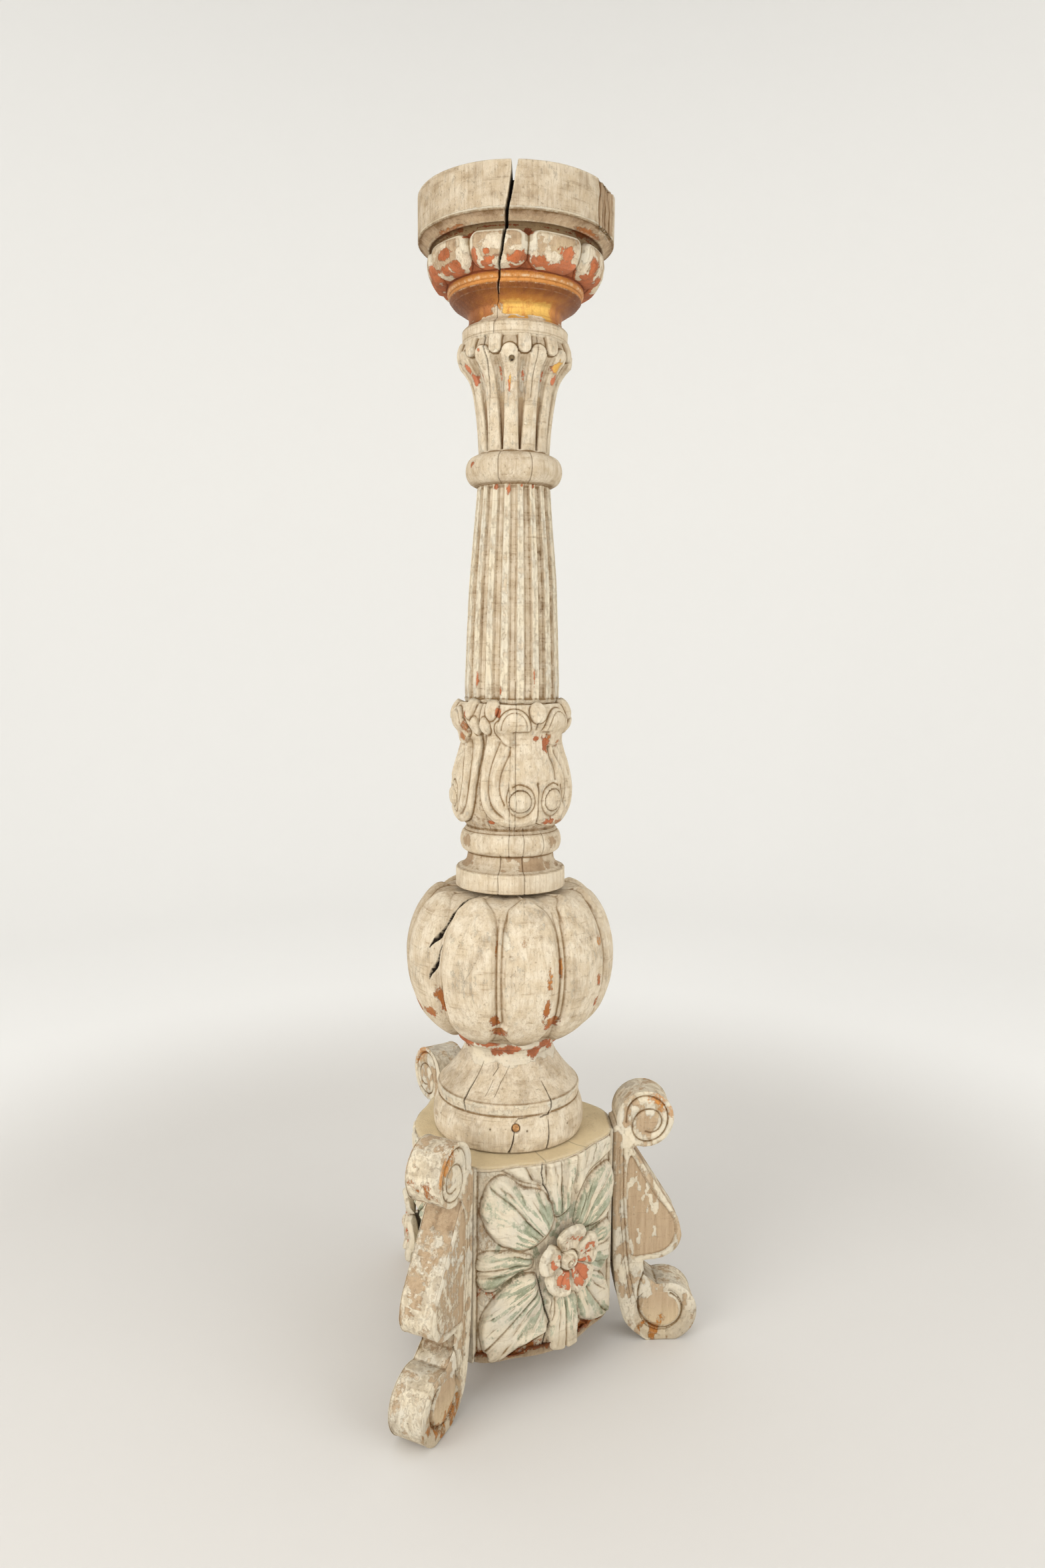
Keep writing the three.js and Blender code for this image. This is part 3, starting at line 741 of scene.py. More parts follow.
def make_stem(material):
    s = Turned(stem_outline(), columns(404, (0, 80, 1.3)))
    s.outside = s.r > 25
    flutes, flute_hollow, shaft, rungs = flute_relief(s)
    capital, capital_hollow, capital_shade_lines, in_capital = capital_relief(s)
    leaves, leaf_shade_line, leaf_hollow, in_leaves = acanthus_relief(s)
    relief = flutes + capital + leaves - 0.3 * leaf_shade_line - 0.4 * capital_shade_lines
    relief = relief + weather(s, 0.22) * s.outside
    checks = drying_checks(s, STEM_CHECKS)
    split = crack(STEM_SPLIT, s.u, s.z, s.arc)
    from_nail = np.hypot(wrap(s.u - NAIL_U) * s.arc, (s.z - CAPITAL_NAIL_HEIGHT) * 1.1)
    nail_hole = (1 - ramp(from_nail, 1.9, 2.4)) * in_capital
    chip = patch(s, 84, 398, 7, 4) * s.outside
    s.raise_by(relief - 0.7 * checks * s.outside - 1.6 * split * s.outside - 2.5 * nail_hole - 1.6 * chip)

    coat = s.coat
    n = NOISE.layered(s.points + 11, (10, 10, 16))
    paint_shaft(s, n, flute_hollow, shaft, rungs)
    coat.add("bare", 0.9 * nail_hole)
    cover_spots(s, "bole", 0.66, STEM_RED, s.outside)
    cover_spots(s, "gold", 0.60, STEM_GOLD, s.outside)
    paint_capital(s, capital_hollow, capital_shade_lines, in_capital)
    paint_vase(s, leaf_shade_line, leaf_hollow, in_leaves)
    paint_foot(s, n)
    turned_parts = 1 - np.clip(shaft + in_capital + in_leaves, 0, 1)
    coat.add("chalk", 0.25 * turned_parts)
    # Painted shade inside the checks, the split and the nail hole.
    coat.cover("dark", np.clip(0.28 * checks + 0.70 * split + 0.35 * nail_hole, 0, 1) * s.outside)
    coat.add("grime_and_shade", s.outside * (0.18 * ramp(n, 0.5, 0.8) + 0.16 * band(s.z, 694, 715, 2)))
    return finish_piece(s.mesh("stem_visual"), "stem_visual", material, ["stem"])


# ------------------------------------------------------------------ ball

BALL_LOBES = 10
BALL_GROOVE = -7.0  # u of one groove between two lobes


def ball_outline():
    bore = 14.3
    low, high = BALL_BOTTOM + GAP, STEM_BOTTOM - GAP
    return (Outline(bore, low).line(40, low, 3).line(43, 268.8, 1)
            .through((52, 271), (61.5, 277.4), (70.4, 287), (75.4, 296), (79.4, 308), (81.4, 320),
                     (82, 332), (81.5, 341), (79.8, 350), (77.2, 359), (73, 368), (66.7, 377), (60.3, 382.6),
                     (54, 384.8))
            .line(50, high, 1).line(bore, high, 3).line(bore, low, 5))


BALL_CRACK = [(-37.2, 389, 1.8), (-37.6, 384, 2.4), (-39.0, 378, 1.8), (-41.2, 370, 2.0), (-42.6, 363, 2.6),
              (-44.6, 357, 2.8), (-47.0, 351.5, 1.6), (-48.8, 347.5, 0.4)]
BALL_CRACK_LOWER = [(-41.6, 351, 0.5), (-42.8, 346, 1.4), (-43.2, 339, 1.8), (-44.6, 333, 2.2),
                    (-46.6, 328, 1.4), (-47.6, 323.5, 0.5)]
BALL_CHECKS = [
    [(-24, 372, 0.3), (-26.5, 360, 0.4), (-30, 347, 0.3)],
    [(-15, 352, 0.3), (-19.5, 338, 0.45), (-24, 327, 0.4), (-29, 320, 0.3)],
    [(10, 388, 0.4), (9, 378, 0.5), (7.6, 368, 0.3)],
    [(3, 345, 0.2), (-3, 331, 0.35), (0, 313, 0.3)],
    [(12, 334, 0.3), (5, 326, 0.35), (1, 318, 0.3)],
    [(-40, 322, 0.7), (-41.5, 311, 0.5), (-40, 299, 0.4)],
]


def lobe_relief(s):
    """Melon lobes with arched ends, a thin fillet down one side of each groove, flat collar above."""
    pitch = 360 / BALL_LOBES
    v = wrap(s.u - BALL_GROOVE - pitch / 2, pitch)
    half = pitch / 2
    level = np.clip(np.abs(s.z - 333) / np.where(s.z > 333, 52.4, 66.0), 0, 1)
    reach = half * np.power(np.clip(1 - level**6.5, 0, 1), 1 / 2.1)
    hand = 0.7 * (NOISE(s.points, (12, 12, 30)) - 0.5)
    inside = (reach - np.abs(v)) * s.arc + hand
    inside = inside - 3.0 * band(-v, half - 5, half, 2) * band(s.z, 296, 374, 8)
    zone = band(s.z, 270, 386.2, 1.2)
    body = smooth(inside / 6.0)
    crown = 1.4 * (1 - (v / half) ** 2)
    fillet = 0.7 * hump((v + half) * s.arc - 1.9, 1.8) * band(s.z, 298, 374, 6)
    groove = hump(inside, 1.0) + 0.35 * hump((v + half) * s.arc - 0.1, 0.6) * band(s.z, 298, 374, 6)
    relief = zone * (-4.2 + 3.5 * body + crown + fillet)
    return relief, zone * np.clip(groove, 0, 1), zone * (1 - body), body


# Patches that have lost their gesso, down to the red ground with gold above it.
BALL_WORN = [(-42.5, 306, 4, 15), (-52, 293, 11, 5), (-8.5, 295, 4.5, 7), (-6, 285, 9, 5), (26, 292, 9, 6),
             (60, 301, 5, 4), (57, 319, 4, 5), (20.5, 305, 3, 9), (-70, 292, 8, 6), (100, 290, 14, 6),
             (170, 292, 20, 6), (-130, 292, 16, 6)]
BALL_GOLD = [(-44, 312, 3, 12), (21.4, 328, 2.8, 20), (29, 336, 3.2, 18), (60, 350, 5, 8),
             (-7.6, 352, 1.2, 14), (20.6, 306, 2.4, 9), (-51, 294, 9, 4), (8, 358, 3, 7)]


def make_ball(material):
    s = Turned(ball_outline(), columns(680, (-43, 12, 2.4)), closed=True)
    s.outside = s.r > 39
    relief, groove, ground, body = lobe_relief(s)
    relief = relief + weather(s, 0.4) * s.outside
    # Sawtooth edges where the wood tore along and across the grain.
    teeth = 0.45 * (NOISE(s.points, (4, 4, 4)) - 0.5)
    opened = widest((BALL_CRACK, BALL_CRACK_LOWER), s.u + teeth, s.z, s.arc) * s.outside
    checks = widest(BALL_CHECKS, s.u, s.z, s.arc) * s.outside
    chip = patch(s, -2.5, 359, 3.2, 8) * body + patch(s, 0, 348, 4, 1.2)
    s.raise_by(relief - 4.5 * opened - 0.4 * checks - 0.5 * np.clip(chip, 0, 1) * s.outside)

    coat = s.coat
    n = NOISE.layered(s.points + 21, (13, 13, 18))
    coat.add("chalk", 0.16 + 0.30 * n * body)
    cover_spots(s, "bole", 0.62, BALL_WORN, s.outside)
    cover_spots(s, "gold", 0.70, [(u, z + 3, wide, high) for u, z, wide, high in BALL_WORN], s.outside)
    cover_spots(s, "gold", 0.56, BALL_GOLD, s.outside)
    coat.add("tone", 0.5 * ramp(s.z, 320, 345) * s.outside)
    coat.cover("chalk", 0.95 * patch(s, -2.6, 358, 3.6, 9) + 0.8 * patch(s, -10, 386, 14, 2.5)
               + 0.8 * patch(s, 24, 384, 5, 4))
    coat.add("grime_and_shade", 0.36 * groove + 0.10 * ground + 0.30 * ramp(n, 0.55, 0.8) * body
             + 0.6 * hump(s.z - 385.2, 0.8) * s.outside
             + 0.35 * ramp(-s.u, 66, 84) + 0.5 * ramp(280 - s.z, 0, 8))
    coat.cover("bare", 0.35 * ground * ramp(n, 0.4, 0.6) * (s.z < 300))
    # Painted shade inside the cracks and checks.
    coat.cover("dark", np.clip(ramp(opened, 0.0, 0.1) + 0.22 * checks, 0, 1))
    return finish_piece(s.mesh("ball_visual"), "ball_visual", material, ["ball"])


# ------------------------------------------------------------------ base moulding


def moulding_outline():
    bore, tenon, seat = 14.3, 20, BLOCK_TOP + GAP
    return (Outline(0, seat - 55).line(tenon, seat - 55, 5).line(tenon, seat, 6).line(57, seat, 4)
            .line(59, seat + 1, FINE)
            .through((60.4, 192), (60.8, 198), (60.2, 205), (58.4, 211.6), (57.2, 214.4))
            .through((56.4, 215.6), (56.9, 217.4)).line(57.3, 223.4).line(56.2, 225.2, FINE)
            .through((50.6, 231), (43.6, 239.6), (38.2, 247.6), (35.7, 254.2), (36.2, 258.6), (39, 261.4))
            .line(41, 262.6, FINE).line(41.4, 267, FINE).line(40.6, BALL_BOTTOM, FINE)
            .line(bore, BALL_BOTTOM, 4).line(bore, 196.7, 8).line(0, 196.7, 5))


MOULDING_CRACKS = [
    [(-32, 250, 0.3), (-34.4, 240, 0.5), (-37.2, 231, 1.1), (-37.4, 223, 1.2), (-35.8, 216, 0.5)],
    [(34, 237, 0.3), (35.4, 231, 0.7), (35.8, 219, 0.9), (33, 214.6, 0.7), (25.4, 213.8, 0.6)],
    [(31.6, 211, 0.4), (31.4, 200, 1.0), (30.6, 192, 1.3), (30, 187, 1.4)],
    [(4.4, 204.6, 0.5), (3.6, 198, 0.9), (2.4, 193, 0.7), (0, 186, 1.8)],
    [(4.5, 211, 0.4), (8, 214.6, 0.4), (16, 214, 0.3)],
    [(-13.5, 250, 0.3), (-12.4, 247, 0.4), (-17, 242, 0.4)],
    [(-16, 239, 0.3), (-20, 229, 0.3)],
    [(1, 249, 0.25), (-8, 238, 0.35), (-12, 229, 0.3)],
    [(140, 238, 0.4), (142, 222, 0.9), (141, 190, 1.2)],
    [(-120, 240, 0.4), (-118, 218, 0.8), (-121, 188, 1.0)],
]
PEG_U = 5.7
PEG_HEIGHT = 207.5


MOULDING_PITS = [(-13.5, 206, 1.2), (14, 205, 1.3), (-63, 206, 1.0), (-60, 218, 1.8), (50, 203, 1.0)]
COLLAR_RED = [(-30, 268, 31.2, 5.2), (-52, 265, 15.6, 6.5), (-13, 260, 13, 6.5), (0, 262, 20.8, 6.5),
              (31, 258, 13, 9.1), (44, 264, 15.6, 7.8), (-72, 262, 26, 7.8), (70, 262, 28.6, 9.1),
              (110, 260, 26, 9.1), (160, 262, 32.5, 6.5), (-110, 262, 28.6, 7.8)]


def from_spot(s, u, z):
    """Millimetres over the surface from a spot."""
    return np.hypot(wrap(s.u - u) * s.arc, s.z - z)


def make_moulding(material):
    s = Turned(moulding_outline(), columns(560, (0, 50, 1.9)))
    s.outside = (s.r > 30) & (s.z > BLOCK_TOP + 0.4)
    cracks = widest(MOULDING_CRACKS, s.u, s.z, s.arc) * s.outside
    pits = np.max([hump(from_spot(s, u, z), size) for u, z, size in MOULDING_PITS], axis=0) * s.outside
    peg_hole = (1 - ramp(from_spot(s, PEG_U, PEG_HEIGHT), PEG_RADIUS, PEG_RADIUS + 0.7)) * s.outside
    s.raise_by(weather(s, 0.45) * s.outside - 1.3 * cracks - 0.8 * pits - 3 * peg_hole)

    coat = s.coat
    n = NOISE.layered(s.points + 63, (12, 12, 8))
    collar = ramp(s.z - 16 * (n - 0.5), 247, 251) * (s.z < 268.5) * s.outside
    cover_spots(s, "bole", 0.80, COLLAR_RED, collar)
    coat.add("chalk", 0.28 + 0.5 * collar + 0.35 * band(s.z, 217, 224, 1) * ramp(n, 0.4, 0.6))
    steps = 0.75 * hump(s.z - 225.0, 0.8) + 0.55 * hump(s.z - 215.2, 0.9) + 0.7 * hump(s.z - 187.3, 1.2)
    coat.add("grime_and_shade", steps * s.outside + 0.30 * ramp(n, 0.5, 0.75)
             + 0.45 * hump(s.z - 262.2, 0.9) * collar)
    coat.cover("bare", 0.45 * patch(s, -70, 200, 20, 10) + 0.4 * patch(s, 62, 197, 16, 8))
    # Painted shade inside the cracks, pits and peg hole.
    coat.cover("dark", np.clip(0.75 * cracks + 0.6 * pits + 0.4 * peg_hole, 0, 1))
    return finish_piece(s.mesh("base_moulding_visual"), "base_moulding_visual", material,
                        ["base_moulding"])


# ------------------------------------------------------------------ base block

BLOCK_ROUND = 77.5
BLOCK_CORNER = 86.1
LAND_HALF = 16.5  # half width of the flat that a leg's back sits on
LAND_REACH = 84.5  # from the axis to that flat
PANEL_CENTRE = 33.0  # u of the middle of one carved panel
PANEL = 120.0
FLOWER_V = 3.0
FLOWER_Z = 105.0


def block_radius(v):
    """Radius of the block in plan, v degrees from the middle of a panel."""
    away = np.abs(v)
    land_half_angle = math.degrees(math.atan2(LAND_HALF, LAND_REACH))
    corner = PANEL / 2 - land_half_angle
    round_face = BLOCK_ROUND + (BLOCK_CORNER - BLOCK_ROUND) * smooth((away / corner - 0.5) / 0.5)
    land = LAND_REACH / np.cos(np.radians(PANEL / 2 - np.clip(away, corner - 1, PANEL / 2)))
    return np.where(away > corner, land, round_face)


# Leaf outlines as (v, height) points round each panel, drawn clockwise, with their rise in
# millimetres and how green they still are.
LEAVES = [
    ([(-7, 128), (-15, 119.5), (-25, 116), (-33, 120), (-40, 128), (-45, 139), (-47.5, 151), (-46.5, 164),
      (-43, 175), (-37, 180), (-31, 175), (-25, 168.5), (-17, 165), (-11, 161.5), (-6, 152), (-3.5, 140)],
     4.4, 0.9),
    ([(-38, 186.5), (-24, 186.5), (-11, 186.5), (-9, 175), (-10, 167), (-17, 168.5), (-26, 172.5),
      (-32.5, 179)], 3.4, 0.75),
    ([(-18, 112), (-27, 115), (-36, 119), (-44, 120), (-49, 116), (-51, 107), (-50, 97), (-46, 89),
      (-40, 87), (-34, 93), (-25, 99), (-18, 102.5)], 3.8, 0.9),
    ([(-16, 97), (-25, 97), (-33, 92), (-40, 83), (-46, 70), (-48, 58), (-47, 45), (-45, 34), (-42, 27.5),
      (-35, 30), (-27, 36), (-17, 42), (-8, 48), (-9, 60), (-11, 74), (-14, 86)], 4.6, 0.85),
    ([(-1, 75), (-5, 62), (-8, 50), (-9, 40), (-7, 31), (-1, 27), (7, 25.5), (14, 28), (16, 36), (16, 46),
      (15, 58), (12, 71)], 4.4, 0.8),
    ([(-10, 81), (-4, 75), (-1.5, 67), (-3, 57), (-6.5, 52), (-9, 66)], 3.0, 0.5),
    ([(-3, 140), (-7, 152), (-10, 165), (-11, 178), (-9, 186.5), (2, 186.5), (13, 186.5), (12, 170),
      (9, 155), (7, 142)], 4.2, 0.8),
    ([(16, 76), (13, 66), (15, 52), (21, 42), (29, 35), (39, 30), (47, 30), (48, 45), (45, 60), (39, 72),
      (29, 82), (21, 84)], 4.2, 1.0),
    ([(21, 105), (29, 112), (39, 114), (47, 112), (50, 100), (48, 87), (43, 76), (35, 73), (26, 80)],
     3.6, 0.9),
    ([(11, 130), (13, 142), (19, 154), (28, 161), (39, 164), (48, 160), (51, 148), (50, 132), (46, 121),
      (37, 116), (25, 118), (17, 122)], 4.4, 0.95),
    ([(13, 186.5), (29, 186.5), (44, 186.5), (47, 170), (41, 168), (29, 164.5), (19, 158), (13, 151),
      (11, 165)], 3.4, 0.75),
]
BLOCK_CRACKS = [
    [(-12.5, 189, 1.0), (-13.5, 178, 0.8), (-12, 168, 0.8), (-8.5, 161, 0.6), (-7, 154, 0.4)],
    [(-15.5, 96, 0.4), (-12.5, 81, 0.9), (-9.5, 66, 1.2), (-6.5, 54, 0.8), (-9, 47, 1.0), (-11, 38, 0.8),
     (-11, 27, 0.7)],
    [(18, 118, 0.4), (22, 111, 0.9), (24, 101, 0.5)],
]


def leaf_shapes(v, z, arc, panel):
    """Relief, undercut lines painted as shadow, and green strokes of the leaves over all three panels."""
    across = (v - FLOWER_V) * arc
    bearing = np.degrees(np.arctan2(z - FLOWER_Z, across))
    reach = np.hypot(across, z - FLOWER_Z)
    # Gouge cuts run out from the flower, so they are noise drawn out along that direction.
    ray = np.stack([np.cos(np.radians(bearing)) * 13 + 40, np.sin(np.radians(bearing)) * 13 + 40,
                    reach / 26 + panel * 9], -1)
    cuts = NOISE.layered(ray, (1.0, 1.0, 1.0))
    brush = NOISE.layered(ray * (1.5, 1.5, 1.3) + 71, (1.0, 1.0, 1.0))
    rise = np.zeros(v.shape)
    line = np.zeros(v.shape)
    green = np.zeros(v.shape)
    for outline, height, colour in LEAVES:
        shape = curve(outline, 4, closed=True)
        depth = depth_inside(shape, v, z, arc)
        inside = depth > 0
        centre = np.mean(outline, axis=0)
        lean = math.degrees(math.atan2(centre[1] - FLOWER_Z, (centre[0] - FLOWER_V) * 1.35))
        rib = np.abs(wrap(bearing - lean)) * reach / 57.3  # millimetres from the leaf's midrib
        dome = height * np.power(smooth(depth / 5.0), 0.8) * (0.80 + 0.2 * np.clip(rib / 12, 0, 1))
        folds = 1.5 * (cuts - 0.5) * ramp(depth, 0.6, 3.5) - 0.8 * hump(rib, 1.6) * ramp(depth, 1, 4)
        made = dome + 2.0 * folds
        better = inside & (made > rise)
        rise = np.where(better, made, rise)
        faded = 1.15 - 0.5 * ramp(reach, 34, 72)
        stroke = (0.25 + 0.75 * ramp(brush, 0.40, 0.56)) * ramp(depth, 0.6, 2.5) * faded
        green = np.where(inside, stroke * colour, green)
        # Painted shadow lines along the gouge cuts and just outside each leaf's undercut edge.
        line = np.where(depth > 1.0, 0.38 * ramp(0.42 - cuts, 0, 0.12) * inside, line)
        line = np.maximum(line, 0.26 * hump(depth + 0.4, 0.8) * (depth <= 1.0))
    return rise, np.clip(line, 0, 1), green


# Splits across the block's top, as (u, from, to) with distances from the axis.
TOP_SPLITS = [(22, 58, 84), (53, 60, 83), (-40, 58, 80), (150, 57, 84)]


def block_outline():
    socket, depth = 20.3, 55.3
    return (Outline(0, BLOCK_BOTTOM).line(68, BLOCK_BOTTOM, 3).line(BLOCK_ROUND, BLOCK_BOTTOM)
            .line(BLOCK_ROUND, BLOCK_TOP - 1.6).line(BLOCK_ROUND - 1.6, BLOCK_TOP, FINE)
            .line(56, BLOCK_TOP, 1.6).line(socket, BLOCK_TOP, 3)
            .line(socket, BLOCK_TOP - depth, 5).line(0, BLOCK_TOP - depth, 4))


def paint_panels(s, n, on_face, rise, line, green, from_flower):
    """Chalky leaves with green strokes, on a ground that keeps some gold and red low down."""
    coat = s.coat
    heart = np.clip(rise / 4, 0, 1)
    ground = on_face * (1 - heart)
    low_band = on_face * (1 - ramp(s.z, 38, 48))
    coat.cover("chalk", on_face * (0.50 + 0.24 * heart))
    coat.cover("bare", on_face * (0.26 + 0.28 * ramp(n, 0.42, 0.62)) * (1 - 0.4 * heart))
    coat.cover("green", green * on_face * (0.45 + 0.75 * n))
    coat.cover("gold", 0.72 * low_band * (1 - heart) * ramp(n, 0.3, 0.5))
    coat.cover("bole", ground * (0.40 * ramp(n, 0.52, 0.66) * (s.z < 100) + 0.42 * (s.z < 42)))
    coat.cover("green", ground * 0.62 * ramp(n, 0.44, 0.6) * (from_flower < 60) * (s.z > 60))
    # Painted shadow along the leaf lines; the bare ground and the low band are darkened.
    coat.add("grime_and_shade", on_face * (0.60 * line + 0.08 * (1 - heart)) + 0.35 * low_band)


def paint_block_top(s, n, edge):
    """Bare khaki wood on top, painted light, with a dirty edge. Returns the cracks drawn on it."""
    coat = s.coat
    top_face = (s.z > BLOCK_TOP - 0.6) * (s.r < BLOCK_CORNER) * (s.r > 21)
    coat.add("grime_and_shade", 0.5 * hump(s.z - BLOCK_TOP, 1.4) * edge)
    coat.cover("bare", 0.85 * top_face)
    # Full tone turns the top's bare wood to the pale khaki, as painted light on it.
    coat.add("tone", top_face)
    coat.add("grime_and_shade", top_face * 0.12 * ramp(n, 0.4, 0.7))
    splits = np.zeros(s.u.shape)
    for u, start, end in TOP_SPLITS:
        drifted = u + 3 * (NOISE(s.points, 16) - 0.5)
        splits = np.maximum(splits, hump(wrap(s.u - drifted) * s.arc, 0.55) * band(s.r, start, end, 1))
    return splits * top_face


def make_block(material):
    s = Turned(block_outline(), columns(780, (36, 62, 1.25)))
    v = wrap(s.u - PANEL_CENTRE, PANEL)
    panel = np.round((s.u - PANEL_CENTRE - v) / PANEL)
    drift = s.points + panel[..., None] * 31  # so that no two panels are carved quite alike
    edge = s.r > BLOCK_ROUND - 2.2
    stretch = np.where(s.r > 21, block_radius(v) / BLOCK_ROUND, 1)
    s.r = s.r * (1 + (stretch - 1) * ramp(s.r, 21, 60))
    s.place()
    noise = NOISE.layered(drift, 14) - 0.5
    rise, line, green = leaf_shapes(v + 2.0 * noise, s.z + 2.5 * noise, s.arc, panel)
    on_face = edge * (1 - ramp(np.abs(v), 49.0, 50.0)) * (1 - ramp(s.z, BLOCK_TOP - 1.5, BLOCK_TOP + 0.5))
    from_flower = np.hypot((v - FLOWER_V) * s.arc, s.z - FLOWER_Z)
    under_flower = 1 - ramp(from_flower, 20, 26)
    ground = -3.6 + 0.8 * (NOISE.layered(drift, (6, 6, 14)) - 0.5)
    carving = ground + np.minimum(rise, 5.4) - 0.7 * line
    carving = carving * (1 - under_flower) + under_flower * -3.8
    cracks = widest(BLOCK_CRACKS, v + 1.6 * noise, s.z, s.arc) * on_face * (panel == 0)
    # The lower edge is ragged: leaf tips hang to the bottom and the wood between them is cut away.
    ragged = 3.5 * ramp(NOISE(drift, (10, 10, 30)), 0.25, 0.6) * (1 - np.clip(rise / 2, 0, 1))
    low = edge * (1 - ramp(s.z, BLOCK_BOTTOM, BLOCK_BOTTOM + 6))
    s.raise_by(on_face * (carving + 0.3 * weather(s)) - 1.2 * cracks - 0.8 * low * ragged)
    s.z = s.z + low * ragged * np.where(s.z < BLOCK_BOTTOM + 0.5, 1, 0.6)
    s.place()

    coat = s.coat
    n = NOISE.layered(drift + 31, (9, 9, 12))
    paint_panels(s, n, on_face, rise, line, green, from_flower)
    splits = paint_block_top(s, n, edge)
    land = edge * ramp(np.abs(v), 46, 50)
    coat.cover("chalk", 0.60 * land)
    coat.cover("bare", land * (0.30 + 0.4 * ramp(n, 0.42, 0.6)))
    coat.add("grime_and_shade", 0.2 * land)
    coat.cover("bare", (s.z < BLOCK_BOTTOM + 0.4) * 0.9)
    # Painted shade inside the cracks and the splits on top.
    coat.cover("dark", np.clip(0.75 * cracks + 0.45 * splits, 0, 1))
    return finish_piece(s.mesh("base_block_visual"), "base_block_visual", material,
                        ["base_block"])


# ------------------------------------------------------------------ rosettes

ROSETTE_ANGLES = {"rosette_front": -57.0, "rosette_right": 63.0, "rosette_left": 183.0}
# Petals as (bearing from the flower's right in degrees, reach, half width in degrees).
PETALS_OF_ROSETTE = ((2, 32.0, 36), (78, 28.5, 40), (168, 27.5, 37), (243, 28.5, 33), (306, 31.5, 34))
BUD_RADIUS = 8.6
ROSETTE_SEAT = 77.8  # from the axis to a flower's flat back


def rosette_surface(angle, rho, seed):
    """Rise of the flower's face above its back, and its paint, over polar points in millimetres."""
    wobble = 5 * (NOISE(np.stack([np.cos(angle), np.sin(angle), 0 * angle + seed], -1) * 2, 0.9) - 0.5)
    bearing = np.degrees(angle) + wobble
    reach = np.zeros(angle.shape)
    tilt = np.zeros(angle.shape)
    fold = np.zeros(angle.shape)
    for at, far, half in PETALS_OF_ROSETTE:
        turn = wrap(bearing - at)
        lobe = far * np.power(np.clip(1 - np.abs(turn / (half * 1.32)) ** 2.6, 0, 1), 0.42)
        better = lobe > reach
        reach = np.where(better, lobe, reach)
        tilt = np.where(better, turn / half, tilt)
        fold = np.where(better, np.abs(turn) / half, fold)
    reach = np.maximum(reach, 14.5)
    share = rho / reach
    cup = 4.6 + 2.4 * np.power(np.clip(share, 0, 1), 1.5) + 1.3 * hump(share - 0.84, 0.17)
    cup += 1.3 * tilt * share  # each petal lies a little over the next
    cup -= 3.8 * ramp(fold, 0.62, 1.0) * ramp(share, 0.22, 0.5)
    cup -= 0.7 * hump(tilt * reach * 0.6, 2.2) * ramp(share, 0.2, 0.5) * (share < 0.85)
    cup -= 1.0 * hump(share - 0.55, 0.2) * (1 - fold)
    bud = np.clip(1 - (rho / BUD_RADIUS) ** 2, 0, 1)
    swirl = np.cos(2 * angle - rho * 1.15)
    bud_rise = 8.2 * np.power(bud, 0.5) + 0.9 * swirl * ramp(bud, 0.05, 0.5)
    rise = np.where(bud > 0, np.maximum(cup * 0.7, bud_rise), cup)
    ring = hump(rho - BUD_RADIUS, 1.1)
    rise = rise - 1.2 * ring
    inside = ramp(share, 0.15, 0.34) * (1 - ramp(share, 0.62, 1.0)) * (bud <= 0)
    inside = inside * (1 - ramp(fold, 0.55, 0.95))
    return reach, rise, inside, fold, share, bud, swirl, ring


def add_back(rho, rise):
    """The face's rings, then the thin edge, the flat back and the stub: radius and height of each row."""
    edge_rows, back_rows, stub, stub_length = 4, 14, 5.7, 11.4
    rim = rho[-1:]
    flat = 0 * rim
    rows = [(rho, rise)]
    rows += [(rim * (1 - 0.035 * i), rise[-1:] * (1 - i / edge_rows)) for i in range(1, edge_rows + 1)]
    inner = rim * 0.86
    rows += [(inner + (stub - inner) * i / back_rows, flat) for i in range(1, back_rows + 1)]
    rows += [(flat + stub, flat - stub_length), (flat, flat - stub_length)]
    return np.vstack([radius for radius, _ in rows]), np.vstack([height for _, height in rows])


def close_up(mesh):
    """Merges the rings that have shrunk to a point and turns the faces outwards."""
    bm = bmesh.new()
    bm.from_mesh(mesh)
    bmesh.ops.remove_doubles(bm, verts=bm.verts, dist=1e-7)
    bmesh.ops.recalc_face_normals(bm, faces=bm.faces)
    bm.to_mesh(mesh)
    bm.free()


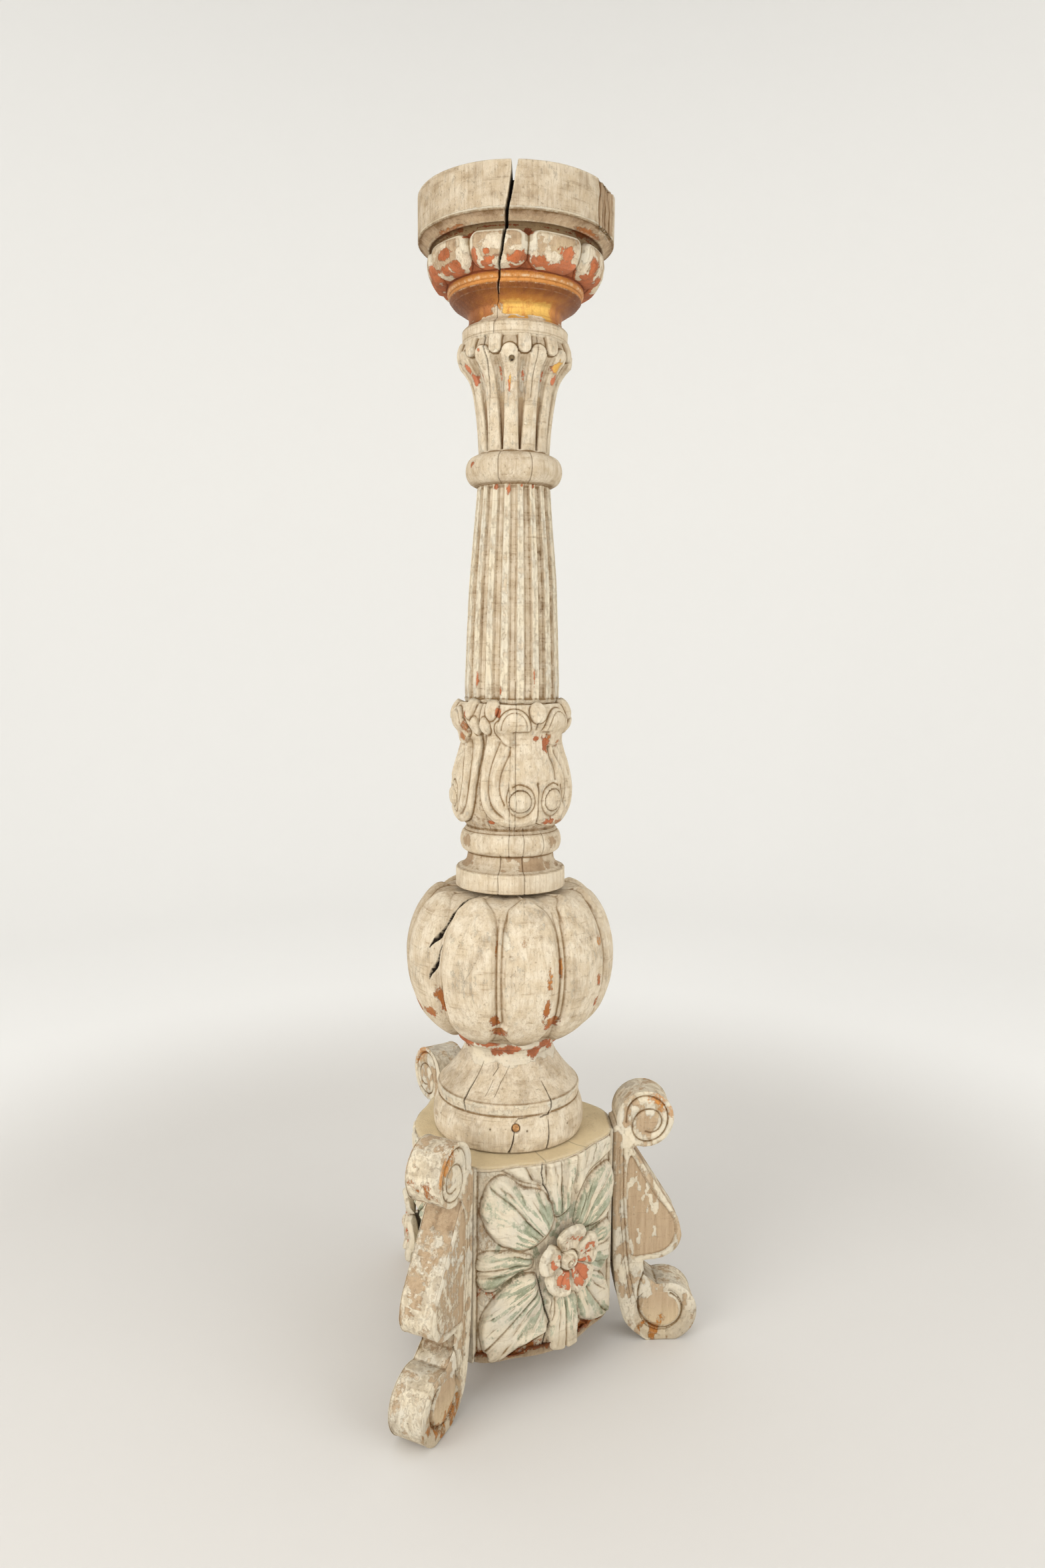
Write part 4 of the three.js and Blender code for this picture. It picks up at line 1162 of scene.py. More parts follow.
def make_rosette(name, angle, seed, material):
    """A carved flower: a face of petals, a thin edge and a flat back with its stub behind."""
    rings, spokes = 64, 300
    theta = np.linspace(-np.pi, np.pi, spokes, endpoint=False)
    a, share = np.meshgrid(theta, np.linspace(0, 1, rings))
    reach = rosette_surface(theta, 0 * theta + 30, seed)[0]
    rho = share * reach[None, :]
    _, rise, inside, fold, share, bud, swirl, ring = rosette_surface(a, rho, seed)
    n = NOISE.layered(np.stack([rho * np.cos(a) + seed * 40, rho * np.sin(a), rise], -1), 4)
    rise = rise + 0.5 * (n - 0.5) - 2.2 * ramp(share, 0.93, 1.0) ** 2
    radius, height = add_back(rho, rise)
    # The petals wrap a little round the block.
    x, y = radius * np.cos(theta)[None, :], radius * np.sin(theta)[None, :]
    out = ROSETTE_SEAT + height - 0.0055 * x**2 * (height > -1)
    turn = math.radians(angle)
    outward_way = np.array([math.cos(turn), math.sin(turn), 0])
    right_way = np.array([-math.sin(turn), math.cos(turn), 0])
    points = (out[..., None] * outward_way + x[..., None] * right_way
              + (FLOWER_Z + y)[..., None] * np.array([0, 0, 1]))
    index = np.arange(radius.size).reshape(radius.shape)
    quads = np.stack([index[:-1], np.roll(index[:-1], -1, 1), np.roll(index[1:], -1, 1), index[1:]], -1)
    mesh = bpy.data.meshes.new(name)
    mesh.from_pydata((points.reshape(-1, 3) * MM).tolist(), [], quads[:, :, ::-1].reshape(-1, 4).tolist())

    coat = Coat(radius.shape)

    def over_face(amount):
        full = np.zeros(radius.shape)
        full[:rings] = amount
        return full

    coat.cover("chalk", over_face(0.66 - 0.30 * inside))
    worn = NOISE.layered(np.stack([rho * np.cos(a) + seed * 70, rho * np.sin(a), rise], -1), 7)
    red = inside * np.clip(2.2 * (worn - 0.26) + 1.2 * (n - 0.5), 0, 0.95)
    coat.cover("bole", over_face(red + 0.5 * bud * ramp(swirl, 0, 0.8)))
    coat.add("tone", over_face(inside * 0.7))
    creases = 0.95 * ring * ramp(n, 0.25, 0.5) + 0.8 * ramp(fold, 0.86, 1.1) * ramp(share, 0.3, 0.7)
    creases = creases + 0.35 * bud * ramp(-swirl, 0.2, 0.9)
    coat.add("grime_and_shade", over_face(creases + 0.3 * (1 - inside) * (n > 0.6)))
    coat.add("bare", np.where(height < -0.5, 0.9, 0))
    coat.store(mesh)
    close_up(mesh)
    return finish_piece(mesh, name + "_visual", material, [name])


# ------------------------------------------------------------------ legs

LEG_THICKNESS = 30.6
LEG_ANGLES = {"leg_right": 0.0, "leg_back": 120.0, "leg_front": -120.0}
TOP_SCROLL = (111.0, 193.0, 23.6)
FOOT_SCROLL = (132.0, 24.7, 26.0)
PANEL_PAINT = {"leg_right": 0.0, "leg_back": 0.15, "leg_front": 0.55}  # paint left on the sunk panels
NAIL_HEIGHTS = {"upper": (166.5, 99.0), "lower": (64.5, 109.5)}
VOXEL = 0.75


def arc_points(centre, start, end, step=4.0):
    """Points along a circle (x, z, radius) from one bearing to another, in degrees."""
    x, z, radius = centre
    count = max(2, int(abs(end - start) / step))
    bearings = [math.radians(start + (end - start) * i / count) for i in range(count + 1)]
    return [(x + radius * math.cos(b), z + radius * math.sin(b)) for b in bearings]


def leg_outline():
    """Side view of a leg: distance from the axis and height, anticlockwise."""
    inner = LAND_REACH + GAP
    back = [(inner, BLOCK_TOP), (inner + 1, 109), (87.2, 67)]
    foot = curve([(87.2, 67), (90.3, 43), (98.5, 16), (116, 0)], 6)[1:]
    neck = [(113, 58), (112, 71)]
    belly = curve([(112, 71), (127, 73), (138.5, 80), (143.2, 90), (142.5, 98), (140, 108)], 5)[1:]
    return (back + foot + arc_points(FOOT_SCROLL, -71.8, 108) + neck + belly
            + [(101.5, 168.5)] + arc_points(TOP_SCROLL, -104, 192))


INNER_LINE = [(93.5, 168), (94, 140), (95.5, 110), (98.5, 75), (103, 48), (107, 34)]
INNER_GROOVE = [(90.5, 168), (91, 140), (92.5, 110), (95.5, 75), (100, 47), (103, 33)]
PANEL_EDGE = [(100, 163), (107.5, 151), (115, 139), (122, 128), (130, 117.5), (137, 107), (138.8, 97),
              (136, 86), (128, 78.5), (112, 75)]
TOP_SPIRAL = [(95.5, 191), (96.5, 201), (101, 208.5), (108.5, 212), (117.5, 211), (125, 206), (129, 198),
              (129, 188), (125, 180), (117.5, 175), (109, 174.5), (102.5, 179), (100.5, 187),
              (103, 195), (108.5, 200), (116, 201), (122, 197.5), (124.5, 191), (122, 184.5),
              (116.5, 181.5), (111.5, 182.5)]
FOOT_SPIRAL = [(112.5, 60), (108.5, 48), (108.3, 36), (110, 26), (115, 17.5), (122.5, 12), (131, 10.8),
               (139.5, 14.5), (144.5, 21.5), (145, 30), (141.5, 37), (135.5, 41)]
PANEL_DEPTH = 1.1


def leg_side_relief(s, z, points, outline):
    """Depth of the carving below a leg's flat side, and its paint."""
    drift = 1.1 * (NOISE.layered(points, (16, 16, 26)) - 0.5)
    s, z = s + drift, z + 0.6 * drift
    rim = depth_inside(outline, s, z)
    inner, _ = near(curve(INNER_LINE, 5), s, z)
    groove, _ = near(curve(INNER_GROOVE, 5), s, z)
    panel_shape = curve([*PANEL_EDGE, (101, 75.5), (98.6, 92), (96.8, 118), (96, 150)], 4, closed=True)
    in_panel = depth_inside(panel_shape, s, z)
    top, top_along = near(curve(TOP_SPIRAL, 5), s, z)
    foot, _ = near(curve(FOOT_SPIRAL, 5), s, z)
    sink = PANEL_DEPTH * ramp(in_panel, -0.8, 1.4)
    wavy = 0.5 + NOISE.layered(points, (5, 5, 9))
    sink = sink + wavy * (0.9 * hump(inner, 0.9) + 0.6 * hump(groove, 0.8) + 0.4 * hump(groove - 1.7, 0.7))
    sink = sink + wavy * ((1.5 - 0.5 * top_along) * hump(top, 1.3) + 2.0 * hump(foot, 1.6))
    # The bands of each scroll are rounded across, so that the flat falls towards its grooves.
    in_top = np.hypot(s - TOP_SCROLL[0], z - TOP_SCROLL[1]) < TOP_SCROLL[2] + 1
    in_foot = np.hypot(s - FOOT_SCROLL[0], z - FOOT_SCROLL[1]) < FOOT_SCROLL[2] + 1
    in_disc = np.hypot(s - 128, z - 27) < 17.5
    sink = sink + 0.8 * (1 - ramp(top, 1, 4.5)) * in_top
    sink = sink + (0.5 + 1.3 * ~in_disc) * (1 - ramp(foot, 1, 5.5)) * in_foot
    sink = sink + 0.9 * (1 - ramp(rim, 0.2, 2.6))
    lines = np.clip(wavy * (0.6 * hump(inner, 0.9) + 0.45 * hump(groove, 0.6) + 0.65 * hump(top, 0.9)
                            + 0.8 * hump(foot, 1.2) + 0.35 * hump(in_panel, 0.7)), 0, 1)
    return sink, in_panel, lines, in_top, in_foot, foot


def leg_blank(name, outline):
    """A leg sawn from a plank along +X, bored for its nails, as a fine even mesh."""
    bm = bmesh.new()
    side = bm.faces.new([bm.verts.new((x * MM, -LEG_THICKNESS / 2 * MM, z * MM)) for x, z in outline])
    raised = bmesh.ops.extrude_face_region(bm, geom=[side])
    moved = [item for item in raised["geom"] if isinstance(item, bmesh.types.BMVert)]
    bmesh.ops.translate(bm, verts=moved, vec=(0, LEG_THICKNESS * MM, 0))
    bmesh.ops.recalc_face_normals(bm, faces=bm.faces)
    plank = bpy.data.meshes.new(name)
    bm.to_mesh(plank)
    bm.free()
    blank = bpy.data.objects.new(name + "_blank", plank)
    bpy.context.scene.collection.objects.link(blank)
    cutters = []
    for height, waist in NAIL_HEIGHTS.values():
        for radius, start, end in ((2.2, 70, waist), (4.3, waist, 165)):
            cutters.append(rod_object(radius, (start, 0, height), (end, 0, height)))
            cut = blank.modifiers.new("hole", "BOOLEAN")
            cut.object = cutters[-1]
            cut.operation = "DIFFERENCE"
            cut.solver = "EXACT"
    remesh = blank.modifiers.new("voxels", "REMESH")
    remesh.mode = "VOXEL"
    remesh.voxel_size = VOXEL * MM
    remesh.use_smooth_shade = True
    bpy.context.view_layer.update()
    mesh = bpy.data.meshes.new_from_object(blank.evaluated_get(bpy.context.evaluated_depsgraph_get()))
    for helper in (blank, *cutters):
        bpy.data.objects.remove(helper)
    return mesh


def paint_leg(name, where, place, on_side, on_edge, in_panel, lines, in_top, in_foot, foot):
    """Chalky bands, bare sunk panels, brown tops partly painted as shade, and golden scrolls."""
    s, y, z = place
    coat = Coat(s.shape)
    n = NOISE.layered(where + 15, (6.5, 6.5, 12), 5)
    panel = ramp(in_panel, 0, 1.6) * on_side
    band_wear = 0.34 * ramp(n, 0.46, 0.66)
    coat.cover("chalk", (0.66 - band_wear) * on_side * (1 - panel) + on_edge * (0.62 - band_wear))
    left_on_panel = 0.8 * ramp(n, 0.55, 0.66) * ramp(7 - np.abs(in_panel - 4.5), 0, 3) + ramp(n, 0.60, 0.70)
    left_on_panel = np.clip(left_on_panel + PANEL_PAINT[name] * ramp(s, 100, 108), 0, 1)
    coat.cover("chalk", panel * 0.8 * left_on_panel)
    coat.cover("bare", panel * (0.90 - 0.5 * left_on_panel))
    coat.cover("bare", on_side * (1 - panel) * (0.36 + 0.36 * ramp(n, 0.46, 0.66)))
    # The disc in the foot scroll has lost nearly all of its paint.
    disc = ramp(foot, 1.5, 3.5) * in_foot * (np.hypot(s - 128, z - 27) < 16)
    coat.cover("bare", on_side * disc * 0.9)
    coat.clear("chalk", on_side * disc * ramp(0.60 - n, 0, 0.05))
    # Bare brown wood, also painted as shade, under the top scroll, and a row of tooth marks below it.
    shaded = band(z + 14 * (n - 0.5), 150, 172, 6) * (s > 95)
    coat.cover("bare", on_edge * (0.26 + 0.28 * ramp(n, 0.48, 0.68) + 0.40 * shaded))
    coat.clear("chalk", 0.5 * on_edge * shaded)
    rows = NOISE.layered(where + 33, (3.5, 6, 2.2), 2)
    teeth = on_edge * ramp(rows, 0.52, 0.60) * band(y, -9, 2, 2) * band(z, 98, 134, 5)
    coat.cover("bare", 0.95 * teeth)
    coat.clear("chalk", teeth)
    low_scroll = (1 - ramp(z, 14, 40)) * on_side * in_foot
    high_scroll = on_side * in_top * ramp(s + z, 306, 330)
    coat.cover("bare", 0.8 * low_scroll)
    coat.cover("gold", 0.56 * low_scroll * ramp(n, 0.36, 0.6) * (z < 30))
    coat.cover("gold", 0.56 * high_scroll * (0.4 + n))
    coat.cover("gold", 0.5 * on_edge * in_top * ramp(s, 124, 133) * ramp(n, 0.40, 0.6))
    coat.add("tone", 0.45 * (low_scroll + high_scroll))
    coat.add("grime_and_shade", 0.45 * low_scroll * (1 - disc))
    coat.add("grime_and_shade", on_side * lines * 0.5 + 0.4 * on_edge * ramp(0.5 - n, 0, 0.15)
             + 0.5 * (1 - ramp(s, 84.9, 87.2)))
    # Painted shade in the notch that hides the lower nail's head.
    notch_shade = band(z, 55, 76, 3) * (s > 110) * (s < 128)
    coat.add("grime_and_shade", 0.5 * notch_shade * on_edge)
    return coat


def make_leg(name, angle, seed, material):
    outline = leg_outline()
    mesh = leg_blank(name, outline)
    points = np.empty(len(mesh.vertices) * 3, np.float32)
    mesh.vertices.foreach_get("co", points)
    points = points.reshape(-1, 3).astype(float) / MM
    normals = np.empty(points.size, np.float32)
    mesh.vertices.foreach_get("normal", normals)
    s, y, z = points.T
    where = points + (seed * 53, 0, seed * 29)
    half = LEG_THICKNESS / 2
    on_side = ramp(np.abs(y), half - 1.6, half - 0.5)
    sink, *zones = leg_side_relief(s, z, where, outline)
    rough = NOISE.layered(where, (7, 7, 14)) - 0.5
    slow = NOISE.layered(where + 60, 30) - 0.5
    points[:, 1] = np.sign(y) * (np.abs(y) - (sink + 0.45 * rough) * on_side)
    # The saw left its edges flat; long use has rounded them and worn shallow hollows along them.
    on_edge = (1 - on_side) * (s > 87.5)
    worn = on_edge * (0.55 * slow + 0.35 + 0.9 * np.clip(rough, 0, 1))
    points -= normals.reshape(-1, 3) * worn[:, None]
    points[:, 2] = np.maximum(points[:, 2], 0)
    coat = paint_leg(name, where, (s, y, z), on_side, on_edge, *zones)
    turn = Matrix.Rotation(math.radians(angle), 3, "Z")
    points = (points * MM) @ np.array(turn).T
    mesh.vertices.foreach_set("co", points.astype(np.float32).ravel())
    coat.store(mesh)
    return finish_piece(mesh, name + "_visual", material, [name])


# ------------------------------------------------------------------ ironwork and peg


def rod_object(radius, start, end, sides=24):
    """A plain round bar between two points in millimetres, used to cut holes."""
    start, end = Vector(start) * MM, Vector(end) * MM
    bm = bmesh.new()
    bmesh.ops.create_cone(bm, cap_ends=True, segments=sides, radius1=radius * MM, radius2=radius * MM,
                          depth=(end - start).length)
    mesh = bpy.data.meshes.new("bar")
    turn = (end - start).to_track_quat("Z", "Y").to_matrix().to_4x4()
    bm.transform(Matrix.Translation((start + end) / 2) @ turn)
    bm.to_mesh(mesh)
    bm.free()
    bar = bpy.data.objects.new("bar", mesh)
    bpy.context.scene.collection.objects.link(bar)
    bar.hide_render = True
    return bar


def forged(rows, sides, square, hammered, seed):
    """Rings of a forged or whittled bar about +Z: rows of (radius, height), squareness 0 to 1."""
    angles = np.linspace(0, 2 * np.pi, sides, endpoint=False)
    r = np.repeat(np.array([row[0] for row in rows], float)[:, None], sides, 1)
    h = np.repeat(np.array([row[1] for row in rows], float)[:, None], sides, 1)
    a = np.repeat(angles[None, :], len(rows), 0)
    squared = 1 / np.maximum(np.abs(np.cos(a)), np.abs(np.sin(a)))
    r = r * (1 - square + square * np.minimum(squared, 1.28) * 0.88)
    points = np.stack([r * np.cos(a), r * np.sin(a), h], -1)
    r = r - hammered * NOISE.layered(points + seed * 11, (2.2, 2.2, 4))
    return np.stack([r * np.cos(a), r * np.sin(a), h], -1)


def bar_mesh(name, points, place):
    """Closes rings into a solid and puts it in place with a matrix in millimetres."""
    rings, sides, _ = points.shape
    index = np.arange(rings * sides).reshape(rings, sides)
    quads = np.stack([index[:-1], np.roll(index[:-1], -1, 1), np.roll(index[1:], -1, 1), index[1:]], -1)
    faces = quads.reshape(-1, 4).tolist() + [index[0, ::-1].tolist(), index[-1].tolist()]
    mesh = bpy.data.meshes.new(name)
    mesh.from_pydata(points.reshape(-1, 3).tolist(), [], faces)
    mesh.transform(Matrix.Scale(MM, 4) @ place)
    return mesh


def outward(angle, height):
    """Turns +Z to point out from the axis at an angle and height."""
    return (Matrix.Translation((0, 0, height)) @ Matrix.Rotation(math.radians(angle), 4, "Z")
            @ Matrix.Rotation(math.pi / 2, 4, "Y"))


def make_nail(name, angle, height, waist, seed, material):
    length, shank, head = 46, 1.75, 3.8
    rows = [(0.25, -length), (0.7, -length + 1.5), (1.3, -length * 0.75)]
    rows += [(shank, -length * 0.7 + i * 3.2) for i in range(10)]
    rows += [(shank, 0), (head * 0.9, 0.05), (head, 0.5), (head * 0.95, 1.0), (head * 0.72, 1.7),
             (head * 0.4, 2.15), (0.4, 2.3)]
    points = forged(rows, 20, 0.75, 0.25, seed)
    place = outward(angle, height) @ Matrix.Translation((0, 0, waist + GAP))
    return finish_piece(bar_mesh(name, points, place), name + "_visual", material, [name])


def make_capital_nail(material):
    rows = [(0.4, 5.2), (1.2, 8)] + [(1.9, 8 + 3 * i) for i in range(1, 9)]
    rows += [(1.95, 35.5), (2.1, 36.2), (1.6, 36.9), (0.3, 37.1)]
    mesh = bar_mesh("capital_nail", forged(rows, 20, 0.5, 0.2, 3),
                    outward(FRONT + NAIL_U, CAPITAL_NAIL_HEIGHT))
    return finish_piece(mesh, "capital_nail_visual", material, ["capital_nail"])


def make_peg(material):
    rows = [(1.9, 4.4), (2.4, 7)] + [(2.6, 7 + 5 * i) for i in range(1, 10)]
    rows += [(2.75, 56), (2.85, 58.6), (2.75, 59.6), (2.2, 60.1), (1.2, 60.3), (0.3, 60.3)]
    mesh = bar_mesh("base_peg", forged(rows, 28, 0.12, 0.3, 8), outward(FRONT + PEG_U, PEG_HEIGHT))
    return finish_piece(mesh, "base_peg_visual", material, ["base_peg"])


def make_pricket(material):
    seat = RECESS_FLOOR - 1
    tip = PAN_TOP + 21
    rows = [(0.4, seat - 33.8), (1.2, seat - 31), (2.3, seat - 26)]
    rows += [(2.75, seat - 24 + 4 * i) for i in range(6)]
    rows += [(2.9, seat + 0.3), (7.5, seat + 0.35), (7.8, seat + 0.9), (7.3, seat + 1.7), (5.2, seat + 2.6),
             (3.9, seat + 3.4), (3.5, seat + 5)]
    rise = tip - (seat + 5)
    rows += [(3.4 * (1 - t) ** 0.85 + 0.25, seat + 5 + rise * t)
             for t in (0.2, 0.4, 0.55, 0.7, 0.8, 0.9, 0.96, 0.995)]
    mesh = bar_mesh("pricket", forged(rows, 28, 0.45, 0.28, 5), Matrix.Identity(4))
    return finish_piece(mesh, "pricket_visual", material, ["pricket"])


# ------------------------------------------------------------------ materials


def rgb(red, green, blue):
    """A display colour, 0 to 255, as the linear colour that shaders take."""
    def linear(value):
        value = value / 255
        return value / 12.92 if value <= 0.04045 else ((value + 0.055) / 1.055) ** 2.4
    return (linear(red), linear(green), linear(blue), 1)


class Graph:
    """Short names for adding nodes to one material."""

    def __init__(self, name):
        self.material = bpy.data.materials.new(name)
        self.material.use_nodes = True
        self.tree = self.material.node_tree
        self.shader = self.tree.nodes["Principled BSDF"]
        self.place = self.add("ShaderNodeTexCoord").outputs["Object"]

    def add(self, kind, **settings):
        node = self.tree.nodes.new(kind)
        for key, value in settings.items():
            setattr(node, key, value)
        return node

    def feed(self, socket, value):
        if isinstance(value, bpy.types.NodeSocket):
            self.tree.links.new(value, socket)
        else:
            socket.default_value = value

    def attribute(self, name):
        return self.add("ShaderNodeAttribute", attribute_name=name)

    def noise(self, scale, detail=3.0, rough=0.5, shift=0.0):
        """Noise with its own number of cells per metre along each axis."""
        mapping = self.add("ShaderNodeMapping")
        self.feed(mapping.inputs["Vector"], self.place)
        mapping.inputs["Scale"].default_value = scale if isinstance(scale, tuple) else (scale,) * 3
        mapping.inputs["Location"].default_value = (shift,) * 3
        node = self.add("ShaderNodeTexNoise")
        self.feed(node.inputs["Vector"], mapping.outputs["Vector"])
        node.inputs["Scale"].default_value = 1
        node.inputs["Detail"].default_value = detail
        node.inputs["Roughness"].default_value = rough
        return node.outputs["Fac"]

    def math(self, operation, a, b=0.0, clamp=False):
        node = self.add("ShaderNodeMath", operation=operation, use_clamp=clamp)
        self.feed(node.inputs[0], a)
        self.feed(node.inputs[1], b)
        return node.outputs["Value"]

    def span(self, value, low, high, out_low=0.0, out_high=1.0):
        node = self.add("ShaderNodeMapRange", clamp=True, interpolation_type="SMOOTHSTEP")
        self.feed(node.inputs["Value"], value)
        node.inputs["From Min"].default_value = low
        node.inputs["From Max"].default_value = high
        node.inputs["To Min"].default_value = out_low
        node.inputs["To Max"].default_value = out_high
        return node.outputs["Result"]

    def mix(self, share, a, b, blend="MIX"):
        node = self.add("ShaderNodeMix", data_type="RGBA", blend_type=blend)
        self.feed(node.inputs["Factor"], share)
        self.feed(node.inputs["A"], a)
        self.feed(node.inputs["B"], b)
        return node.outputs["Result"]

    def flakes(self, coverage, breakup, edge=0.06):
        """Turns a coverage into sharp-edged flakes with the help of a noise."""
        return self.span(self.math("ADD", coverage, breakup), 1 - edge, 1 + edge)

    def bump(self, height, distance, strength=1.0, normal=None):
        node = self.add("ShaderNodeBump")
        node.inputs["Distance"].default_value = distance
        node.inputs["Strength"].default_value = strength
        self.feed(node.inputs["Height"], height)
        if normal is not None:
            self.feed(node.inputs["Normal"], normal)
        return node.outputs["Normal"]


WOOD_LIGHT = rgb(228, 215, 192)
WOOD_MID = rgb(212, 194, 165)
WOOD_DARK = rgb(182, 160, 130)
BARE_LIGHT = rgb(192, 166, 134)
BARE_DARK = rgb(168, 140, 108)
CHALK_WARM = rgb(230, 217, 190)
CHALK_COOL = rgb(218, 211, 194)
STAIN = rgb(158, 128, 96)
# Pale khaki that toned bare wood turns to, made light enough to paint light onto the block's top.
LIGHTENED_KHAKI = rgb(238, 218, 174)
BOLE_BRIGHT = rgb(196, 108, 62)
BOLE_DARK = rgb(150, 80, 42)
BOLE_SALMON = rgb(222, 130, 92)
GOLD_BRIGHT = rgb(236, 190, 96)
GOLD_MID = rgb(206, 138, 62)
GOLD_DEEP = rgb(176, 108, 54)
GREEN_PALE = rgb(172, 180, 156)
GREEN_DEEP = rgb(126, 138, 108)
# Near black, painted as the shade inside cracks, checks and holes.
CRACK_SHADE = rgb(44, 34, 24)


def aged_wood(name, ladder=0.5):
    """Bleached wood under the worn layers of a polychrome finish."""
    g = Graph(name)
    paint = g.add("ShaderNodeSeparateColor")
    painted = g.attribute("paint")
    g.feed(paint.inputs["Color"], painted.outputs["Color"])
    wear = g.add("ShaderNodeSeparateColor")
    worn = g.attribute("wear")
    g.feed(wear.inputs["Color"], worn.outputs["Color"])
    bole, green, gold = (paint.outputs[k] for k in ("Red", "Green", "Blue"))
    bare = painted.outputs["Alpha"]
    grime_and_shade, chalk, crack_shade = (wear.outputs[k] for k in ("Red", "Green", "Blue"))
    tone = worn.outputs["Alpha"]
    hollow = g.attribute("hollow").outputs["Fac"]

    grain = g.noise((430, 430, 26), 5, 0.62)
    fibre = g.noise((1500, 1500, 110), 4, 0.6, 3.1)
    cross = g.noise((24, 24, 420), 7, 0.66, 6.3)
    blotch = g.noise(30, 5, 0.6, 7.7)
    cloud = g.noise(95, 6, 0.65, 2.9)
    flake = g.noise((270, 270, 190), 10, 0.74, 1.3)
    speck = g.noise((1000, 1000, 700), 5, 0.7, 9.2)

    colour = g.mix(g.span(cloud, 0.34, 0.66), WOOD_LIGHT, WOOD_MID)
    colour = g.mix(g.math("MULTIPLY", g.span(grain, 0.44, 0.68), 0.5), colour, WOOD_DARK)
    colour = g.mix(g.math("MULTIPLY", g.span(fibre, 0.5, 0.72), 0.35), colour, WOOD_DARK)
    scratches = g.math("MULTIPLY", g.span(cross, 0.52, 0.72), g.span(cloud, 0.38, 0.6))
    colour = g.mix(g.math("MULTIPLY", scratches, ladder), colour, STAIN)
    stains = g.math("MULTIPLY", g.span(blotch, 0.52, 0.72), g.span(flake, 0.35, 0.65))
    colour = g.mix(g.math("MULTIPLY", stains, 0.36), colour, STAIN)
    colour = g.mix(g.math("MULTIPLY", g.span(speck, 0.60, 0.70), 0.6), colour, CHALK_WARM)
    pits = g.noise((620, 620, 430), 6, 0.7, 5.6)
    colour = g.mix(g.math("MULTIPLY", g.span(pits, 0.60, 0.70), 0.45), colour, STAIN)

    breakup = g.math("ADD", g.math("MULTIPLY", flake, 1.3), g.math("MULTIPLY", speck, 0.4))
    chalk_noise = g.math("MULTIPLY", g.noise((300, 300, 150), 10, 0.75, 12.4), 1.4)
    chalk_noise = g.math("ADD", chalk_noise, g.math("MULTIPLY", speck, 0.3))
    chalk_flakes = g.flakes(chalk, g.math("SUBTRACT", chalk_noise, 0.33), 0.07)
    chalk_colour = g.mix(g.span(blotch, 0.35, 0.7), CHALK_WARM, CHALK_COOL)
    chalk_colour = g.mix(g.math("MULTIPLY", g.span(cross, 0.55, 0.7), 0.4), chalk_colour, WOOD_DARK)
    chalk_share = g.math("MULTIPLY", chalk_flakes, 0.82)

    bare_flakes = g.flakes(bare, g.math("SUBTRACT", breakup, 0.34), 0.05)
    bare_wood = g.mix(g.span(grain, 0.3, 0.7), BARE_LIGHT, BARE_DARK)
    bare_wood = g.mix(g.math("MULTIPLY", g.span(cloud, 0.4, 0.65), 0.5), bare_wood, BARE_LIGHT)
    # Tone turns bare wood to the pale khaki, painted light on the block's top.
    bare_wood = g.mix(g.math("MULTIPLY", tone, 0.8), bare_wood, LIGHTENED_KHAKI)
    colour = g.mix(g.math("MULTIPLY", bare_flakes, 0.9), colour, bare_wood)
    colour = g.mix(chalk_share, colour, chalk_colour)

    bole_flakes = g.flakes(bole, g.math("SUBTRACT", breakup, 0.32), 0.05)
    bole_colour = g.mix(g.span(cloud, 0.35, 0.65), BOLE_DARK, BOLE_BRIGHT)
    bole_colour = g.mix(g.math("MULTIPLY", g.span(speck, 0.45, 0.7), 0.6), bole_colour, BOLE_BRIGHT)
    bole_colour = g.mix(g.math("MULTIPLY", tone, 0.7), bole_colour, BOLE_SALMON)
    colour = g.mix(g.math("MULTIPLY", bole_flakes, 0.93), colour, bole_colour)

    gold_flakes = g.flakes(gold, g.math("SUBTRACT", breakup, 0.34), 0.08)
    rubbed = g.math("ADD", g.math("MULTIPLY", tone, 0.62), g.math("MULTIPLY", flake, 0.75))
    gold_colour = g.mix(g.span(rubbed, 0.36, 0.70), GOLD_DEEP, GOLD_MID)
    gold_colour = g.mix(g.span(rubbed, 0.72, 0.98), gold_colour, GOLD_BRIGHT)
    gold_colour = g.mix(g.math("MULTIPLY", g.span(cross, 0.5, 0.66), 0.35), gold_colour, GOLD_DEEP)
    colour = g.mix(g.math("MULTIPLY", gold_flakes, 0.95), colour, gold_colour)

    green_flakes = g.flakes(green, g.math("SUBTRACT", breakup, 0.38), 0.16)
    green_colour = g.mix(g.span(cloud, 0.35, 0.65), GREEN_DEEP, GREEN_PALE)
    colour = g.mix(g.math("MULTIPLY", green_flakes, 0.8), colour, green_colour)

    # Dirt and painted shade darken the colour; the hollows get painted shade in place of occlusion.
    dirt_and_hollow_shade = g.math("ADD", grime_and_shade, g.math("MULTIPLY", g.span(hollow, 0.55, 0.95), 0.65))
    dirt_and_hollow_shade = g.math("MULTIPLY", dirt_and_hollow_shade, g.span(flake, 0.2, 0.6, 0.55, 1.1), True)
    shade = g.mix(dirt_and_hollow_shade, (1, 1, 1, 1), rgb(164, 144, 118))
    colour = g.mix(1.0, colour, shade, "MULTIPLY")
    edge_worn = g.math("MULTIPLY", g.span(hollow, 0.44, 0.10), g.span(flake, 0.42, 0.64))
    edge_worn = g.math("MULTIPLY", edge_worn, g.span(bole, 0.6, 0.2, 0.1, 0.5))
    colour = g.mix(edge_worn, colour, CHALK_WARM)
    # Cracks, checks and holes are painted near black: painted shade.
    colour = g.mix(crack_shade, colour, CRACK_SHADE)

